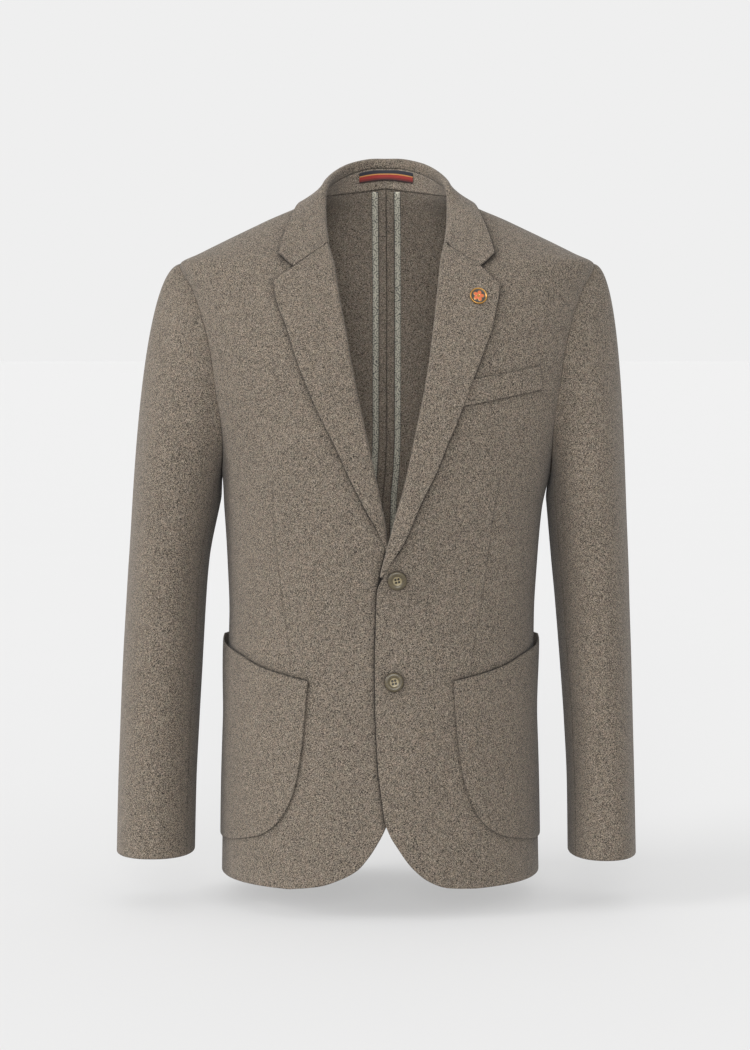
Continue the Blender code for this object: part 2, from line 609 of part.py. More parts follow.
def seam_line(arc, crest):
    """Where the stand meets the fall, a little below the roll on the inside."""
    drop = np.array([1, 1, 1, 0.8, 0.45, 0.35, 0.35, 0.35])[:, None] * STAND_SEAM_DROP
    return arc[:, 0] - crest * drop


def both_sides(profiles, per_station):
    """The whole collar from its right half: more stations between the given ones, then the mirror
    image, shifted as the neck is."""
    flat = profiles.reshape(len(profiles), -1)
    places = np.arange(len(profiles), dtype=float)
    finer = np.linspace(0, len(profiles) - 1, (len(profiles) - 1) * per_station + 1)
    slope = np.gradient(flat, axis=0)
    slope[0].reshape(-1, 3)[:, 1:] = 0
    i = np.clip(finer.astype(int), 0, len(profiles) - 2)
    t = (finer - places[i])[:, None]
    half = ((2 * t**3 - 3 * t**2 + 1) * flat[i] + (t**3 - 2 * t**2 + t) * slope[i]
            + (3 * t**2 - 2 * t**3) * flat[i + 1] + (t**3 - t**2) * slope[i + 1])
    half = half.reshape(len(finer), -1, 3)
    mirrored = half[:0:-1] * (-1, 1, 1)
    whole = np.concatenate([mirrored, half])
    whole[..., 0] += body_rows(NECK_SIDE_Z)[3]
    return whole


def collar(materials):
    stand, seam, arc, sheet = collar_stations()
    band = np.concatenate([stand, seam[:, None]], axis=1)
    fall = np.concatenate([seam[:, None], arc, sheet], axis=1)
    band = both_sides(band, 2)
    fall = both_sides(fall, 2)
    inward = np.array([body_rows(NECK_SIDE_Z)[3], 0.0, 0.0])
    inner_side = band + unit(inward + (0, -0.02, 0) - band) * 0.001
    band = pull_in(band, 2 * SEAM_GAP, ("last",))
    cloth_object("collar_stand", band, inner_side, CLOTH, materials["inner_knit"], 0.0)
    centre = fall[:, 1:6].mean(axis=1, keepdims=True)
    outside = fall + unit(fall - centre) * 0.001
    fall = pull_in(fall, SEAM_GAP, ("top", "bottom"))
    fall = pull_in(fall, 3 * SEAM_GAP, ("first",))
    cloth_object("collar_fall", fall, outside, TURNED, materials["melange_knit"], 0.0)
    return band


def hanger_loop(band, material):
    """A short ribbon across the inside of the stand, sewn down at both ends and bowed between them."""
    middle = body_rows(NECK_SIDE_Z)[3]
    low, high = band[:, 0], band[:, -1]
    count = 13
    x = np.linspace(middle - LOOP_HALF, middle + LOOP_HALF, count)
    order = np.argsort(low[:, 0])
    keep = order[(np.abs(low[order, 1] - low[:, 1].max()) < 0.03)]
    rows = []
    for share in (0.30, 0.30 + LOOP_HEIGHT / 0.0245):
        line = low + (high - low) * share
        y = np.interp(x, line[keep, 0], line[keep, 1])
        z = np.interp(x, line[keep, 0], line[keep, 2])
        bow = LOOP_BOW * np.cos(np.linspace(-np.pi / 2, np.pi / 2, count))
        rows.append(np.stack([x, y - CLOTH / 2 - 2 * LAP_GAP - LOOP_WALL - bow, z], -1))
    grid = np.stack(rows)
    outside = grid + (0, -0.001, 0)
    return cloth_object("hanger_loop", grid, outside, LOOP_WALL, material, -1.0)


# ---------------------------------------------------------------- pockets, welt, seam turnings

def patch_pocket(side, name, material):
    """A patch pocket on the front and a little way round the side, its mouth standing open there."""
    rows, cols = 11, 10
    down = np.linspace(0, 1, rows)
    inner = through(POCKET_SIDE, down)
    start = np.stack([angle_at(inner[:, 0], inner[:, 1]), inner[:, 1]], -1)
    mouth_angle = np.append(angle_at(POCKET_MOUTH[:, 0], POCKET_MOUTH[:, 1]), 0)
    mouth_z = np.append(POCKET_MOUTH[:, 1], POCKET_SIDE_Z)
    back_top = POCKET_SIDE_Z + 0.0020
    corner = np.sqrt(np.clip(1 - (np.clip(down - 0.82, 0, 1) / 0.18) ** 2, 0, 1))
    end = np.stack([POCKET_BACK + (1 - corner) * 12 * DEG, back_top + (POCKET_FOOT_Z - back_top) * down], -1)
    grid2 = between(start, end, np.linspace(0, 1, cols))
    wanted = along(-mouth_angle, mouth_z, np.clip(-grid2[0, :, 0], -mouth_angle[0], 0))
    wanted[grid2[0, :, 0] < 0] = back_top
    grid2[:, :, 1] += (wanted - grid2[0, :, 1])[None, :] * ((1 - down) ** 1.5)[:, None]
    sag = np.sin(np.linspace(0, np.pi, cols)) * 0.006
    grid2[:, :, 1] -= sag[None, :] * smoothstep(0.6, 1.0, down)[:, None]
    to_side = smoothstep(0.45, 1.0, np.linspace(0, 1, cols))
    gape = POCKET_GAPE * to_side[None, :] * (1 - smoothstep(0.0, 0.42, down))[:, None]
    out = CLOTH + POCKET_STANDS_OFF + gape
    grid = body_point(grid2[..., 0], grid2[..., 1], side, out)
    outside = body_point(grid2[..., 0], grid2[..., 1], side, out + 0.001)
    return cloth_object(name, grid, outside, CLOTH, material)


def breast_welt(material):
    """The welt of the breast pocket, whose inner end runs in under the lapel."""
    top = WELT[0] + (WELT[1] - WELT[0]) * np.linspace(0, 1, 9)[:, None]
    foot = WELT[3] + (WELT[2] - WELT[3]) * np.linspace(0, 1, 9)[:, None]
    share = np.linspace(0, 1, 3)[:, None, None]
    at = top[None] * (1 - share) + foot[None] * share
    out = CLOTH + LAP_GAP
    grid = front_point(at[..., 0], at[..., 1], 1, out)
    outside = front_point(at[..., 0], at[..., 1], 1, out + 0.001)
    return cloth_object("breast_welt", grid, outside, WELT_WALL, material)


def inside_strip(side, name, start, width, wall, material):
    """A strip down the inside of the back, beside the middle seam."""
    z = np.clip(back_levels(), BACK_HEM_Z + 0.004, NAPE_Z - 0.002)
    x = np.array([start, start + width])
    z2, x2 = np.meshgrid(z, x, indexing="ij")
    angle = -angle_at(x2, z2)
    grid = body_point(angle, z2, side, -(LAP_GAP + wall))
    outside = body_point(angle, z2, side, -(LAP_GAP + wall) + 0.001)
    return cloth_object(name, grid, outside, wall, material)


# ---------------------------------------------------------------- buttons and pin

def turned_disc(name, profile, steps, material):
    """A disc from a profile of radius and height, turned about its axis and closed at both poles."""
    vertices = [(r, 0.0, h) for r, h in profile]
    edges = [(k, k + 1) for k in range(len(profile) - 1)]
    mesh = bpy.data.meshes.new(name)
    mesh.from_pydata(vertices, edges, [])
    mesh.materials.append(material)
    made = bpy.data.objects.new(name, mesh)
    bpy.data.collections[COLLECTION].objects.link(made)
    turn = made.modifiers.new("turn", "SCREW")
    turn.steps = turn.render_steps = steps
    turn.use_merge_vertices = True
    turn.merge_threshold = 0.00002
    turn.use_normal_calculate = True
    return made


def seat(made, x, z, out):
    """Lays a disc on the left front or lapel, its axis along the outward direction."""
    place, normal, away = front_frame(np.array(x), np.array(z), 1)
    turn = Matrix(np.stack([away, np.cross(normal, away), normal], -1).tolist())
    made.matrix_world = Matrix.Translation(place + normal * out) @ turn.to_4x4()


def button(name, x, z, material):
    """A four-hole button with a rounded rim and a dished middle."""
    r, h = BUTTON_RADIUS, BUTTON_HEIGHT
    profile = [(0, h * 0.55), (r * 0.44, h * 0.60), (r * 0.55, h * 0.86), (r * 0.75, h), (r * 0.93, h * 0.86),
               (r, h * 0.50), (r * 0.90, h * 0.12), (r * 0.70, 0), (0, 0)]
    made = turned_disc(name, profile, 20, material)
    cutters = bpy.data.collections["cutters"]
    for k in range(4):
        turn = (45 + 90 * k + 12) * DEG
        bpy.ops.mesh.primitive_cylinder_add(vertices=6, radius=HOLE_RADIUS, depth=3 * h)
        cutter = bpy.context.object
        cutter.name = f"{name}_hole_{k}"
        cutter.data.transform(Matrix.Translation((HOLE_SPREAD * np.cos(turn), HOLE_SPREAD * np.sin(turn), 0)))
        for collection in list(cutter.users_collection):
            collection.objects.unlink(cutter)
        cutters.objects.link(cutter)
        cutter.hide_render = True
        cutter.display_type = "WIRE"
        cutter.parent = made
        cut = made.modifiers.new(f"hole_{k}", "BOOLEAN")
        cut.operation = "DIFFERENCE"
        cut.object = cutter
    seat(made, x, z, CLOTH + 0.0003)
    return made


def lapel_pin(material):
    """A small round pin with a raised rim, on the left lapel."""
    r, h = PIN_RADIUS, PIN_HEIGHT
    profile = [(0, h * 0.9), (r * 0.40, h * 0.75), (r * 0.80, h * 0.55), (r * 0.86, h), (r * 0.97, h * 0.95),
               (r, h * 0.5), (r * 0.96, 0), (0, 0)]
    made = turned_disc("lapel_pin", profile, 24, material)
    seat(made, *PIN_PLACE, CLOTH / 2 + FOLD + LAPEL_LIFT * 0.66 + TURNED / 2 + LAP_GAP)
    return made


# ---------------------------------------------------------------- the whole garment

def main():
    clear_scene()
    for name in (COLLECTION, "cutters"):
        if name not in bpy.data.collections:
            bpy.context.scene.collection.children.link(bpy.data.collections.new(name))
    materials = make_materials()
    knit, inner = materials["melange_knit"], materials["inner_knit"]
    for side, word in ((-1, "right"), (1, "left")):
        front_panel(side, f"front_{word}", knit)
        side_panel(side, f"side_{word}", knit)
        back_panel(side, f"back_{word}", knit)
        sleeve_panel(side, False, f"top_sleeve_{word}", knit)
        sleeve_panel(side, True, f"under_sleeve_{word}", knit)
        lapel(side, f"lapel_{word}", knit)
        patch_pocket(side, f"patch_pocket_{word}", knit)
        inside_strip(side, f"seam_turning_{word}", SEAM_GAP / 2, TURNING_WIDTH - SEAM_GAP, CLOTH, inner)
        inside_strip(side, f"binding_{word}", TURNING_WIDTH + SEAM_GAP / 2, BINDING_WIDTH,
                     BINDING_WALL, materials["paisley_tape"])
    band = collar(materials)
    hanger_loop(band, materials["loop_ribbon"])
    breast_welt(knit)
    for name, (x, z) in BUTTONS.items():
        button(name, x, z, materials["horn"])
    lapel_pin(materials["pin_metal"])


main()
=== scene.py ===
# %% [markdown]
# # A knitted blazer
# The blazer is filled out as if worn, with nobody in it. Every piece of cloth is a thin shell: a grid of points
# on the garment's form, moved out and in along its normal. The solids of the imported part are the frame, and each
# shell here stands for one of them, with a finer edge, soft folds and a finish of its own.

# %% Load the frame
import bpy
import numpy as np
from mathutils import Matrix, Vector


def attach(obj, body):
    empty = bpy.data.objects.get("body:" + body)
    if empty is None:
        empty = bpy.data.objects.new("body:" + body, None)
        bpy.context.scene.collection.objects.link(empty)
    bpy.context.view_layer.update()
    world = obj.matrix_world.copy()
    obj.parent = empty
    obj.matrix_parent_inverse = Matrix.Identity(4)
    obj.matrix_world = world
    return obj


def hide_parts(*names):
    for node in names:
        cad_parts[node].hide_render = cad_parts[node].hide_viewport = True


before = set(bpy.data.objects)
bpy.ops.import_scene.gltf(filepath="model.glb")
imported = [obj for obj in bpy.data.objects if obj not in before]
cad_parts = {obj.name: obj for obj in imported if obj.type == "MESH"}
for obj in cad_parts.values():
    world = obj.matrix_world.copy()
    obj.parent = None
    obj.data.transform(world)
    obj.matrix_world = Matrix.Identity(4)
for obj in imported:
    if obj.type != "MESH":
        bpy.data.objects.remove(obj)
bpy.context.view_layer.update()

# %% [markdown]
# ## Sizes
# These are the garment's own sizes: the body's level sections, its edges, its lapels and its sleeves. They are
# the same as the solids', so a shell lies on its solid. A table that is divided by 1000 is in millimetres; all
# else is in metres, and in degrees where it says so. The origin lies in the neck opening.

# %% Named sizes
DEG = np.pi / 180
# thickness of a sheet and of a turned piece, and the gap between two pieces that lie on each other
CLOTH, TURNED, LAP_GAP = 0.0018, 0.0020, 0.0005
# radius of a fold, reach of its inner layer, and how far a front's edge stays back inside it
FOLD, FOLD_REACH, TUCK = 0.0028, 0.008, 0.0045
SECTION_POWER, SLEEVE_POWER = 2.4, 2.2
# level, half width, depth to the front, depth to the back, sideways shift
BODY = np.array([
    (20, 40, 4, 62, 2.5), (5, 60, 6, 70.5, 2.5), (-8, 71.5, 10, 78, 2.5), (-36, 131, 36, 92, 3),
    (-69.5, 200, 66, 104, 3.2), (-80.5, 220.5, 74, 107, 3.3), (-107, 212.5, 89, 113, 3.5),
    (-151, 206.2, 107, 120.5, 3.5), (-206, 198.5, 121, 126, 3.5), (-264, 183.5, 129, 127, 3.5),
    (-305, 174.5, 131, 125, 2), (-342, 169.4, 130, 122, -1), (-398, 165.4, 126, 115, -1.8),
    (-455, 163, 124, 109, -2.5), (-551, 165.5, 128, 117, -4.2), (-639, 168.5, 133, 128, -4.2),
    (-740, 170.8, 138, 136, -4)]) / 1000
NECK_SIDE_Z, NAPE_Z, TIP_Z, UNDERARM_Z = -0.008, 0.005, -0.0805, -0.305
ARMHOLE_FRONT, ARMHOLE_BACK = 29 * DEG, 27 * DEG
FRONT_SEAM, BACK_SEAM = (11 * DEG, 8 * DEG), (-22 * DEG, -20 * DEG)
SIDE_HEM_Z, BACK_HEM_Z = -0.7330, -0.7170
# distance from the middle and level, from the gorge down to the hem
RIGHT_EDGE = np.array([
    (61.2, -61), (55.8, -79), (50.6, -112), (44.2, -145), (33.8, -202), (18.2, -273.7), (8.1, -311.7),
    (-1.7, -345.8), (-5.2, -369.7), (-10.5, -390), (-16.5, -415), (-20, -450), (-20, -560), (-16.5, -612),
    (-12, -645), (-5.9, -665.6), (4.8, -686), (12.9, -698), (24, -710.5), (42, -720.5), (62.8, -728),
    (94.4, -732.8)]) / 1000
LEFT_EDGE = np.array([
    (59.2, -61), (55, -79), (51.2, -112), (46.7, -150.6), (39.3, -202), (24.9, -273.6), (15.8, -325),
    (5.2, -369.5), (0.2, -389.3), (-2.7, -402.8), (-5.6, -420.5), (-6.4, -450), (-6.7, -481), (-5.6, -532.6),
    (-2.4, -605.1), (0.7, -631), (4.8, -660), (10.5, -675), (17.2, -686), (32, -707), (50.4, -722.5), (70, -730),
    (98.7, -732.5)]) / 1000
NECK_EDGE = np.array([(73.5, -11.5), (72.5, -22), (70.8, -38), (68.8, -52), (64.2, -61)]) / 1000
RIGHT_LAPEL = np.array([
    (118.6, -101.2), (114.5, -121.9), (104.9, -146.3), (93.2, -182), (75.7, -225.5), (55.3, -266.9),
    (36.8, -304.3), (16.9, -337.9), (-1.8, -369)]) / 1000
LEFT_LAPEL = np.array([
    (115.8, -105), (114.5, -117.8), (112.5, -126), (107.4, -149.3), (100.6, -167.7), (93.6, -186), (78, -226.5),
    (69.5, -248.7), (59.3, -272), (51, -295.2), (39.8, -320.8), (29.4, -349.3), (15.4, -379.7), (6.7, -397.5)]) / 1000
NOTCH, LAPEL_LIFT = (0.0968, -0.0862), 0.0026
# level and how far the upper front stands off to pass over the lower one
OVERLAP = np.array([
    (-180, 0), (-280, 2), (-340, 6.2), (-370, 8.6), (-400, 7.4), (-430, 4.5), (-470, 2.5), (-740, 2.4)]) / 1000
OVERLAP_WIDTH = (0.020, 0.085)
# place of the collar's roll, and its turn from upright to level
ROLL_STATIONS = np.array([
    (0.0000, 0.0715, 0.0386, 0), (0.0205, 0.0680, 0.0378, 0), (0.0430, 0.0535, 0.0310, 4),
    (0.0585, 0.0280, 0.0185, 16), (0.0645, 0.0010, 0.0040, 38)])
STAND_FOOT = np.array([-90, -71, -50, -27, 0]) * DEG
# the collar's edge behind and over the shoulder, as angle in degrees and level
FALL_EDGE_BACK = np.array([(-90, -0.0090), (-71, -0.0095), (-50, -0.0112), (-27, -0.0145), (0, -0.0193)])
# the same edge from the gorge up to the shoulder, for the shade beside it
COLLAR_SIDE = np.array([
    (57.4, -0.0690), (54.2, -0.0585), (51.1, -0.0508), (47.4, -0.0434), (42.5, -0.0359), (37.1, -0.0305),
    (24.8, -0.0243), (0.0, -0.0186), (0.0, -0.0080)])
FRONT_ROLL = np.array([(64, -19), (63, -40), (60.2, -60.4)]) / 1000
FRONT_FALL_EDGE = np.array([(101.5, -39), (108, -56), (112.8, -73.5)]) / 1000
STAND_SEAM_DROP = 0.0075
# level, middle, half width, girth, middle's place front to back
RIGHT_SLEEVE = np.array([
    (-333, 224, 45.7, 385, 0), (-398, 233, 41.7, 368, 2), (-441.8, 236.3, 41.2, 358, 2),
    (-507.3, 239.8, 41.1, 343, -3), (-573, 242.8, 40.6, 329, -10), (-639, 245.2, 40.1, 314, -19),
    (-709, 246.2, 40, 300, -31)]) / 1000
LEFT_SLEEVE = np.array([
    (-333, 218.5, 41, 385, 0), (-398, 223.2, 39.7, 368, 2), (-441.8, 226, 38.2, 358, 2),
    (-507.3, 229.5, 36.5, 343, -3), (-573, 232.4, 35, 329, -10), (-639, 234.4, 34.2, 314, -19),
    (-710, 235, 34.5, 300, -31)]) / 1000
HEAD_PUSH, HEAD_FALL = (0.38, 0.31), 1.00
UNDER_SLEEVE = (145 * DEG, 245 * DEG)
POCKET_MOUTH = np.array([(74.7, -514.7), (106, -507.8), (127.5, -501.6), (147, -492.5)]) / 1000
POCKET_SIDE = np.array([
    (74.7, -514.7), (77.6, -554.8), (82.2, -596.6), (88.4, -628.2), (97.1, -650.6), (109.5, -668),
    (125.5, -680)]) / 1000
POCKET_SIDE_Z, POCKET_BACK, POCKET_FOOT_Z = -0.4800, -9 * DEG, -0.6910
POCKET_GAPE = 0.0036
WELT = np.array([(75, -204.2), (157.9, -188.1), (159.9, -212.8), (69, -231.6)]) / 1000
BUTTONS = {"button_upper": (0.0149, -0.4077), "button_lower": (0.0137, -0.5145)}
BUTTON_RADIUS, PIN_RADIUS, PIN_PLACE = 0.0100, 0.0092, (0.0932, -0.1180)
TURNING_WIDTH, BINDING_WIDTH = 0.0088, 0.0070
DART = np.array([
    (118.3, -290.2), (114.3, -330.7), (110.1, -374.6), (104.5, -420.6), (100, -450.8), (95.2, -484),
    (93.5, -508)]) / 1000
WORDS = {-1: "right", 1: "left"}
print("body sections:", len(BODY), "edge points:", len(RIGHT_EDGE), len(LEFT_EDGE))

# %% [markdown]
# ## The garment's form
# A level section of the body is a rounded rectangle: at angle a its point is (width r cos a, -depth r sin a) with
# r = (|cos a|^n + |sin a|^n)^(-1/n). With n = 2 it would be an ellipse; 2.4 makes the chest a little flatter.
# Rows of sizes are joined by a curve that doesn't overshoot, so the shoulder stays crisp.

# %% Curves and forms
def cubic(t, a, b, slope_a, slope_b):
    """The cubic from a to b that has a slope given at each end, at t from 0 to 1."""
    return ((2 * t**3 - 3 * t**2 + 1) * a + (t**3 - 2 * t**2 + t) * slope_a
            + (3 * t**2 - 2 * t**3) * b + (t**3 - t**2) * slope_b)


def along(x, values, at):
    """Cubic pieces through rows at rising x, whose slopes are the harmonic mean of the neighbours' slopes."""
    values = np.asarray(values, float)
    flat = values.ndim == 1
    values = values[:, None] if flat else values
    rise = np.diff(values, axis=0) / np.diff(x)[:, None]
    same = rise[:-1] * rise[1:] > 0
    total = np.where(same, rise[:-1] + rise[1:], 1.0)
    slope = np.vstack([rise[:1], np.where(same, 2 * rise[:-1] * rise[1:] / total, 0.0), rise[-1:]])
    at = np.asarray(at, float)
    i = np.clip(np.searchsorted(x, at.ravel()) - 1, 0, len(x) - 2)
    h = np.diff(x)[i][:, None]
    out = cubic((at.ravel() - x[i])[:, None] / h, values[i], values[i + 1], h * slope[i], h * slope[i + 1])
    return out[:, 0].reshape(at.shape) if flat else out.reshape(*at.shape, -1)


def arc_length(points):
    """Share of the whole length at each point, from 0 to 1."""
    lengths = np.linalg.norm(np.diff(points, axis=0), axis=1)
    return np.concatenate([[0.0], np.cumsum(lengths)]) / lengths.sum()


def through(points, at):
    """The curve through points, read at shares of its length."""
    return along(arc_length(points), points, at)


def smoothstep(low, high, x):
    """3t^2 - 2t^3, where t runs from 0 at low to 1 at high."""
    t = np.clip((x - low) / (high - low), 0, 1)
    return t * t * (3 - 2 * t)


def unit(vectors):
    """Vectors divided by their lengths."""
    return vectors / np.maximum(np.linalg.norm(vectors, axis=-1, keepdims=True), 1e-12)


def rounded(angle, power):
    """(r cos a, r sin a) with r = (|cos a|^n + |sin a|^n)^(-1/n)."""
    c, s = np.cos(angle), np.sin(angle)
    return np.stack([c, s]) * (np.abs(c) ** power + np.abs(s) ** power) ** (-1 / power)


def body_rows(z):
    """Half width, front depth, back depth and shift at a level."""
    return np.moveaxis(along(-BODY[:, 0], BODY[:, 1:], -np.asarray(z, float)), -1, 0)


def bare_form(angle, z, side):
    """(side width r cos a + shift, -depth r sin a, z)."""
    width, front, back, shift = body_rows(z)
    c, s = rounded(angle, SECTION_POWER)
    return np.stack([side * width * c + shift, -np.where(s >= 0, front, back) * s, z + 0 * angle], -1)


def body_point(angle, z, side, out=0.0):
    """A point of the form moved out along the cross product of its two tangents."""
    angle, z = np.broadcast_arrays(np.asarray(angle, float), np.asarray(z, float))
    h = 2e-4
    across = bare_form(angle + h, z, side) - bare_form(angle - h, z, side)
    down = bare_form(angle, z + h, side) - bare_form(angle, z - h, side)
    n = unit(np.cross(across, down))
    outward = side * np.cos(angle) * n[..., 0] - np.sin(angle) * n[..., 1]
    n = n * np.where(outward < 0, -1.0, 1.0)[..., None]
    return bare_form(angle, z, side) + n * np.asarray(out)[..., None]


def angle_at(x, z):
    """The angle of the front where |x/width|^n + |y/depth|^n = 1."""
    share = np.clip(x / body_rows(z)[0], -1, 1)
    return np.arctan2((1 - np.abs(share) ** SECTION_POWER) ** (1 / SECTION_POWER), share)


def local_x(angle, z):
    """The distance from the body's middle at an angle: width r cos a."""
    return body_rows(z)[0] * rounded(angle, SECTION_POWER)[0]


def overlap_lift(x, z, side):
    """The upper front's height over the form: a table by level, times a fade away from the edge."""
    lift = along(-OVERLAP[:, 0], OVERLAP[:, 1], np.clip(-np.asarray(z, float), 0.18, 0.74))
    return lift * (1 - smoothstep(*OVERLAP_WIDTH, np.asarray(x, float))) * (side > 0)


def front_point(x, z, side, out=0.0):
    """A point of a front by its distance from the middle, its level and its height."""
    return body_point(angle_at(x, z), z, side, np.asarray(out) + overlap_lift(x, z, side))


def front_frame(x, z, side):
    """A front's point, its outward direction and the direction away from the middle."""
    h = 5e-4
    away = unit(front_point(x + h, z, side) - front_point(x - h, z, side))
    down = unit(front_point(x, z - h, side) - front_point(x, z + h, side))
    return front_point(x, z, side), unit(np.cross(down, away)) * side, away


def armhole(turn):
    """Angle reach |sin t|^p and level middle + half cos t: slim at the shoulder, scooped at the underarm."""
    turn = np.asarray(turn, float)
    s = np.sin(turn)
    reach = np.where(s >= 0, ARMHOLE_FRONT, -ARMHOLE_BACK)
    power = np.where(np.cos(turn) > 0, np.where(s >= 0, 1.05, 1.0), np.where(s >= 0, 0.75, 0.8))
    middle, half = (TIP_Z + UNDERARM_Z) / 2, (TIP_Z - UNDERARM_Z) / 2
    return np.stack([reach * np.abs(s) ** power, middle + half * np.cos(turn)], -1)


def turn_where(angle, low, high):
    """The turn of the armhole's lower half that lies at an angle round the body."""
    turns = np.linspace(low, high, 2001)
    return turns[np.argmin(np.abs(armhole(turns)[:, 0] - angle))]


FRONT_TURN = turn_where(FRONT_SEAM[0], 100 * DEG, 180 * DEG)
BACK_TURN = turn_where(BACK_SEAM[0], 190 * DEG, 260 * DEG)
print("armhole turns at the side seams:", round(FRONT_TURN / DEG), round(BACK_TURN / DEG))

# %% [markdown]
# ## Cloth as a shell
# A sheet of cloth has two faces and a soft, rounded edge. One could give a plane the Solidify modifier, but its
# edge is then square and its corners sharp. Here both faces are computed: the outer one lies a wall's thickness
# out along the grid's normal, and near an edge both bend towards the middle of the wall along a quarter circle.
# Steps are finer there, so the edge catches light as a pressed seam does.

# %% Shells
EDGES = ("top", "bottom", "first", "last")
SEAMS = ("top", "first", "last")
EDGE_STEPS = np.array([0, 0.0003, 0.0008, 0.0016, 0.0028])


def stations(count, length):
    """Shares from 0 to 1: even steps, with a few fine ones of fixed real size at both ends."""
    near = EDGE_STEPS / length
    return np.concatenate([near, np.linspace(near[-1], 1 - near[-1], count)[1:-1], 1 - near[::-1]])


def cross_gradients(grid):
    """The cross product of a grid's two gradients."""
    return np.cross(np.gradient(grid, axis=0), np.gradient(grid, axis=1))


def grid_normals(grid, like):
    """Unit cross product of the grid's two gradients, turned to agree with the vectors in like."""
    n = unit(cross_gradients(grid))
    return n * np.where((n * like).sum() < 0, -1.0, 1.0)


def edge_distance(grid, edges):
    """The distance along the cloth from each point to the nearest of the named edges."""
    down = np.linalg.norm(np.diff(grid, axis=0), axis=-1)
    over = np.linalg.norm(np.diff(grid, axis=1), axis=-1)
    rows = np.vstack([np.zeros(grid.shape[1]), np.cumsum(down, axis=0)])
    cols = np.hstack([np.zeros((grid.shape[0], 1)), np.cumsum(over, axis=1)])
    reach = {"top": rows, "bottom": rows[-1:] - rows, "first": cols, "last": cols[:, -1:] - cols}
    return np.minimum.reduce([reach[e] for e in edges]) if edges else np.full(grid.shape[:2], 1.0)


def new_mesh(name, points, quads):
    """A smooth mesh object at the origin from arrays of points and four-sided faces."""
    mesh = bpy.data.meshes.new(name)
    mesh.vertices.add(len(points))
    mesh.vertices.foreach_set("co", np.ascontiguousarray(points, np.float32).ravel())
    mesh.loops.add(quads.size)
    mesh.loops.foreach_set("vertex_index", np.ascontiguousarray(quads, np.int32).ravel())
    mesh.polygons.add(len(quads))
    mesh.polygons.foreach_set("loop_start", np.arange(0, quads.size, 4, dtype=np.int32))
    mesh.polygons.foreach_set("use_smooth", np.full(len(quads), True))
    mesh.update(calc_edges=True)
    mesh.validate()
    made = bpy.data.objects.new(name, mesh)
    bpy.context.scene.collection.objects.link(made)
    return made


def numbered(rows, cols):
    """The numbers of a grid's points."""
    return np.arange(rows * cols).reshape(rows, cols)


def grid_faces(first):
    """Quads between neighbours in a grid of numbers."""
    return np.stack([first[:-1, :-1], first[1:, :-1], first[1:, 1:], first[:-1, 1:]], -1).reshape(-1, 4)


def closed_mesh(name, outer, inner, flip=False):
    """Two grids, one behind the other, and the rim between them."""
    first = numbered(*outer.shape[:2])
    ring = np.concatenate([first[0, :-1], first[:-1, -1], first[-1, :0:-1], first[:0:-1, 0]])
    after = np.roll(ring, -1)
    quads, rim = grid_faces(first), np.stack([ring, after, after + first.size, ring + first.size], -1)
    if flip:
        quads, rim = quads[:, ::-1], rim[:, ::-1]
    points = np.concatenate([outer.reshape(-1, 3), inner.reshape(-1, 3)])
    return new_mesh(name, points, np.concatenate([quads, quads[:, ::-1] + first.size, rim]))


def per_point(made, name, values):
    """A number stored on each point of a mesh, for a material to read."""
    made.data.attributes.new(name, "FLOAT", "POINT").data.foreach_set("value", values.astype(np.float32))


def shell(name, grid, like, low=0.0, high=CLOTH, sewn=(), stored=None):
    """A closed shell between low and high along the grid's normals. Within half a wall of an edge, its faces
    follow a quarter circle: half the wall times sqrt(1 - (1 - d/half)^2). An edge that is sewn to another
    piece keeps seven tenths of the wall, so that the seam is a shallow line."""
    n = grid_normals(grid, like)
    middle, half = (low + high) / 2, (high - low) / 2
    loose, joined = edge_distance(grid, [e for e in EDGES if e not in sewn]), edge_distance(grid, sewn)
    share = np.maximum(np.clip(1 - loose / (1.25 * half), 0, 1), 0.7 * np.clip(1 - joined / 0.0005, 0, 1))
    swell = (half * np.sqrt(np.clip(1 - share**2, 0.02, 1)))[..., None]
    flip = (cross_gradients(grid) * n).sum() < 0
    made = closed_mesh(name, grid + n * (middle + swell), grid + n * (middle - swell), flip)
    face, count = (len(grid) - 1) * (len(grid[0]) - 1), len(made.data.polygons)
    # outer faces and rim take the first material, inner faces the second, which for the knit is its lighter copy with
    # painted light
    made.data.polygons.foreach_set("material_index", np.repeat([0, 1, 0], [face, face, count - 2 * face]))
    # the distance to the nearest edge or seam, read by the knit for its painted shade along edges and seams
    for key, values in {"edge": np.minimum(loose + 0.0003, joined), **(stored or {})}.items():
        per_point(made, key, np.tile(values.ravel(), 2))
    print(f"{name}: {count} faces")
    return made
